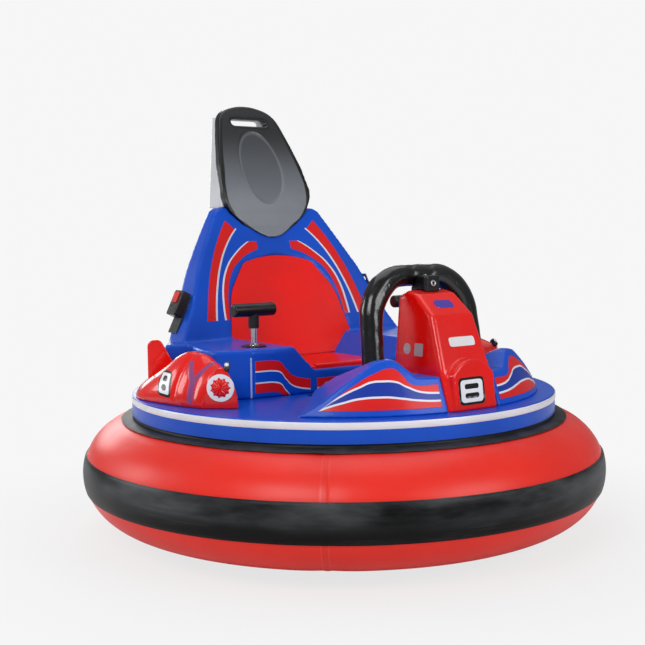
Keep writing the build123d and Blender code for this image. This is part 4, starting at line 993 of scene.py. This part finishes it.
def grid_piece(name, shape, finish, slot, place, length, width, columns, rows, seed, jitter=0.0):
    repeated(name, grid_of_parts, shape, finish, slot, place, Length=length, Width=width, Columns=columns, Rows=rows,
             Jitter=jitter, Seed=seed)


def block(size, bevel, centre=(0.0, 0.0, 0.0)):
    """A block with its edges cut back by bevel."""
    bm = bmesh.new()
    bmesh.ops.create_cube(bm, size=1.0)
    for vertex in bm.verts:
        vertex.co = Vector([c * s + m for c, s, m in zip(vertex.co, size, centre)])
    bmesh.ops.bevel(bm, geom=bm.edges[:], offset=bevel, segments=1, affect="EDGES")
    return mesh_of("block", bm)


def bolt_head(radius, height, sides=6):
    """A hexagon head with a bevelled top, on the XY plane."""
    levels = [(radius, -1 * MM), (radius, height - 0.6 * MM), (radius - 0.8 * MM, height)]
    return loft("bolt_head", [[polar(a, r, z) for a in even_angles(sides)] for r, z in levels])


TYRE_SHOULDER, TREAD_DEPTH, LUGS = 9 * MM, 2.2 * MM, 44
LUG_THICK, LUG_L, LUG_W, LUG_BEVEL, LUG_SINK = TREAD_DEPTH + 3 * MM, 7.5 * MM, 11 * MM, 0.7 * MM, 0.1 * MM
TREAD_ROWS = [(-0.34, 0.0), (0.0, 0.5), (0.34, 0.0)]      # share of the tyre's width, share of a step
for side in SIDES:
    hub, half = middle_of(f"drive_tyre_{side}")
    bead_r = middle_of(f"drive_rim_{side}")[1].x
    half_w, tyre_r = half.y, half.x - TREAD_DEPTH
    wall_r = tyre_r - TYRE_SHOULDER
    tyre_section = ([(bead_r, -half_w), (wall_r, -half_w)]
                    + arc_points(wall_r, -half_w + TYRE_SHOULDER, TYRE_SHOULDER, -70, 0, 5)
                    + arc_points(wall_r, half_w - TYRE_SHOULDER, TYRE_SHOULDER, 0, 70, 5)
                    + [(wall_r, half_w), (bead_r, half_w)])
    at = Matrix.Translation(hub) @ Matrix.Rotation(radians(90), 4, "X")
    tyre_mesh = lathe(f"tyre_skin_{side}", tyre_section, even_angles(96))
    tyre_mesh.transform(at)
    body = f"drive_wheel_{side}"
    link_piece(f"tyre_skin_{side}", tyre_mesh, "tyre", body, "tyre_black", sharp=40, stands_for=[f"drive_tyre_{side}"])
    for row, (share, stagger) in enumerate(TREAD_ROWS):
        lug = block((LUG_THICK, LUG_L, LUG_W), LUG_BEVEL, (-LUG_THICK / 2, 0, 0))
        turned = Matrix.Rotation(stagger * 2 * pi / LUGS, 4, "Z") @ Matrix.Translation((0, 0, share * 2 * half_w))
        repeated(f"tread_{side}_{row}", ring_of_parts, lug, "tyre", "tyre_black", at @ turned, body, Count=LUGS,
                 Radius=tyre_r + TREAD_DEPTH - LUG_SINK)

MAT_RIB_W, MAT_RIB_H, MAT_RIBS, MAT_EDGE = 2.4 * MM, 1.2 * MM, 20, 10 * MM
mat_mid, mat_half = middle_of("floor_mat")
rib = block((MAT_RIB_W, 2 * (mat_half.y - MAT_EDGE), 2 * MAT_RIB_H), 0.5 * MM)
grid_piece("mat_ribs", rib, "mat", "mat_rubber", Matrix.Translation((mat_mid.x, 0, mat_mid.z + mat_half.z)),
           2 * (mat_half.x - MAT_EDGE), 0.0, MAT_RIBS, 1, 1)

for end in ("front", "rear"):
    plate_mid, plate_half = middle_of(f"castor_plate_{end}")
    at = Matrix.Translation((plate_mid.x, 0, plate_mid.z + plate_half.z - 3 * MM)) @ Matrix.Rotation(pi, 4, "X")
    grid_piece(f"castor_bolts_{end}", bolt_head(5.5 * MM, 4 * MM), "bolt", "plain_steel", at, 0.060, 0.060, 2, 2, 2)

clamp_mid, clamp_half = middle_of("bar_clamp")
at = Matrix.Translation((clamp_mid.x + 12 * MM, 0, clamp_mid.z + clamp_half.z))
grid_piece("clamp_screws", bolt_head(4 * MM, 2.4 * MM), "bolt", "plain_steel", at, 0.0, 0.022, 1, 2, 3)

EYELET_R, EYELET_W = 5.2 * MM, 1.9 * MM
eyelet_section = [(EYELET_R + u, v) for u, v in oval_loop(EYELET_W, 12)]
eyelet_mesh = lathe("clamp_eyelet", eyelet_section, even_angles(40))
front_x = max(v.co.x for v in clamp.data.vertices if abs(v.co.y) < 8 * MM)
eyelet_mesh.transform(basis((front_x, 0, clamp_mid.z + 8 * MM), (1, 0, 0.2)))
link_piece("clamp_eyelet", eyelet_mesh, "bolt", slot="plain_steel", sharp=0)

# Belt stitches: two rows along each strap, on the face that looks at the rider.
STITCH_L, STITCH_W, STITCH_PITCH, STITCH_JITTER = 3.2 * MM, 0.8 * MM, 4.4 * MM, 0.25 * MM
STITCH_END, STITCH_MARGIN = 10 * MM, 7 * MM
for side, sign in SIDES.items():
    corners = [v.co for v in nodes[f"belt_strap_{side}"].data.vertices]
    start = min(corners, key=lambda c: (round(c.x, 4), c.z, abs(c.y)))
    arms = sorted({tuple(round(v, 5) for v in corner - start) for corner in corners}, key=lambda a: Vector(a).length)
    thick, wide, *longer = [Vector(arm) for arm in arms[1:]]
    along = next(arm for arm in longer if abs(arm.dot(wide)) < 1e-6 and abs(arm.dot(thick)) < 1e-6)
    ahead = along.normalized()
    out = thick.normalized() if thick.y * sign < 0 else -thick.normalized()
    at = Matrix((ahead, out.cross(ahead), out)).transposed().to_4x4()
    at.translation = sum(corners, Vector()) / len(corners) + out * (thick.length / 2)
    run = along.length - STITCH_END
    grid_piece(f"belt_stitches_{side}", block((STITCH_L, STITCH_W, 0.8 * MM), 0.2 * MM), "thread", "webbing", at,
               run, wide.length - STITCH_MARGIN, int(run / STITCH_PITCH), 2, 4, STITCH_JITTER)

# ---- small soft shapes
LIP_R, LIP_END = 5 * MM, 8 * MM
pan_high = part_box("seat_pan")[1]
lip_mesh = slab([oval_loop(LIP_R, 20)], 2 * (pan_high.y - LIP_END))
lip_mesh.transform(Matrix.Translation((pan_high.x - LIP_R, pan_high.y - LIP_END, pan_high.z))
                   @ Matrix.Rotation(radians(-90), 4, "X"))
link_piece("pan_lip", lip_mesh, "pan", slot="red_shell", sharp=60)

PEG_AT, PEG_LEAN = (0.1115, 0.3815, 0.408), 0.9
for side, sign in SIDES.items():
    peg = block((11 * MM, 20 * MM, 12 * MM), 2.5 * MM)
    at = basis(mirrored(PEG_AT, sign), mirrored((*FACE_OUT, PEG_LEAN), sign))
    peg.transform(at)
    link_piece(f"pod_peg_{side}", peg, "black", slot="black_plastic", sharp=40)
    cap = ribbed_dome(4.5 * MM, 2.5 * MM, 1, 0.0, 5, 24)
    cap.transform(at @ Matrix.Translation((0, 2 * MM, 6 * MM)))
    link_piece(f"peg_cap_{side}", cap, "print white", slot="white_trim", sharp=50)

# ---- camera, lights and floor
CAMERA_BEARING = radians(37)      # from straight ahead towards the driver's right
CAMERA_REACH, CAMERA_HEIGHT = 2.605, 0.685
CAMERA_PITCH, CAMERA_YAW, CAMERA_ROLL = -0.0814, 0.0176, -0.0105
LENS, SENSOR = 62.6, 36.0

camera_data = bpy.data.cameras.new("camera")
camera_data.lens, camera_data.sensor_width = LENS, SENSOR
camera = scratch_object("camera", camera_data)
bpy.context.scene.camera = camera
toward = Vector((cos(CAMERA_BEARING), -sin(CAMERA_BEARING), 0.0))
sight = Matrix.Rotation(CAMERA_YAW, 3, "Z") @ (toward * -cos(CAMERA_PITCH) + Vector((0, 0, sin(CAMERA_PITCH))))
right = sight.cross(Vector((0, 0, 1))).normalized()
raised = right.cross(sight)
tilted_right = right * cos(CAMERA_ROLL) + raised * sin(CAMERA_ROLL)
tilted_up = raised * cos(CAMERA_ROLL) - right * sin(CAMERA_ROLL)
camera.matrix_world = (Matrix.Translation(toward * CAMERA_REACH + Vector((0, 0, CAMERA_HEIGHT)))
                       @ Matrix((tilted_right, tilted_up, -sight)).transposed().to_4x4())

LAMPS = [                    # name, place, side lengths, power, what it looks at
    ("key softbox", (1.6, -2.6, 2.4), (1.8, 1.4), 46, (0, 0, 0.3)),
    ("front softbox", (3.2, 0.8, 1.6), (1.6, 1.2), 30, (0, 0, 0.3)),
    ("top softbox", (-0.3, 0.3, 3.2), (2.6, 2.6), 24, (0, 0, 0.3)),
    ("back softbox", (-2.8, 1.8, 2.0), (1.8, 1.4), 20, (0, 0, 0.4)),
    ("shoulder strip", (-3.4, 0.4, 1.1), (2.2, 0.8), 22, (0, -0.3, 0.25)),
    ("side softbox", (-2.3, -2.5, 1.4), (1.1, 1.2), 22, (-0.2, -0.2, 0.3)),
]
for name, place, (wide, high), power, target in LAMPS:
    lamp = bpy.data.lights.new(name, "AREA")
    lamp.shape, lamp.size, lamp.size_y, lamp.energy = "RECTANGLE", wide, high, power
    stand = scratch_object(name, lamp)
    stand.location = place
    stand.visible_camera = False
    stand.rotation_euler = (Vector(target) - Vector(place)).to_track_quat("-Z", "Y").to_euler()

BACKGROUND, SKY = (0.925, 0.925, 0.925, 1.0), (0.82, 0.84, 0.88, 1.0)
WORLD_STRENGTH, WORLD_GLOSS = 0.42, 0.25      # the sky lights shiny faces less
FLOOR_GREY, FLOOR_REACH = (0.80, 0.80, 0.80, 1.0), 14.0
SHADOW_FADE = (0.62, 1.15)        # reach from the centre over which the floor's shadow gives way to the backdrop
SHADOW_SHARE = 0.82               # backdrop colour in the floor under the car
world = bpy.data.worlds.new("studio")
world.use_nodes = True
bpy.context.scene.world = world
sky = world.node_tree
gloss = result(sky, "LightPath", output="Is Glossy Ray") * (WORLD_STRENGTH - WORLD_GLOSS)
lit = result(sky, "Background", {"Color": SKY, "Strength": WORLD_STRENGTH - gloss})
seen = result(sky, "Background", {"Color": BACKGROUND, "Strength": 1.0})
camera_ray = result(sky, "LightPath", output="Is Camera Ray")
link(result(sky, "MixShader", {0: camera_ray, 1: lit, 2: seen}), sky.nodes["World Output"].inputs["Surface"])

floor_mesh = bpy.data.meshes.new("floor")
floor_mesh.from_pydata([(u * FLOOR_REACH, v * FLOOR_REACH, 0) for u, v in ((-1, -1), (1, -1), (1, 1), (-1, 1))], [],
                       [(0, 1, 2, 3)])
floor = scratch_object("floor", floor_mesh)
floor_material = bpy.data.materials.new("floor")
floor_material.use_nodes = True
ground = floor_material.node_tree
matt = result(ground, "BsdfDiffuse", {"Color": FLOOR_GREY})
glow = result(ground, "Emission", {"Color": BACKGROUND, "Strength": 1.0})
_, floor_x, floor_y, _ = coordinates(ground)
backdrop = remap(length_of(floor_x, floor_y), *SHADOW_FADE, SHADOW_SHARE, 1.0, shape="SMOOTHSTEP")
share = result(ground, "LightPath", output="Is Camera Ray") * backdrop
link(result(ground, "MixShader", {0: share, 1: matt, 2: glow}),
     ground.nodes["Material Output"].inputs["Surface"])
floor_mesh.materials.append(floor_material)

bpy.context.scene.view_settings.view_transform = "Standard"
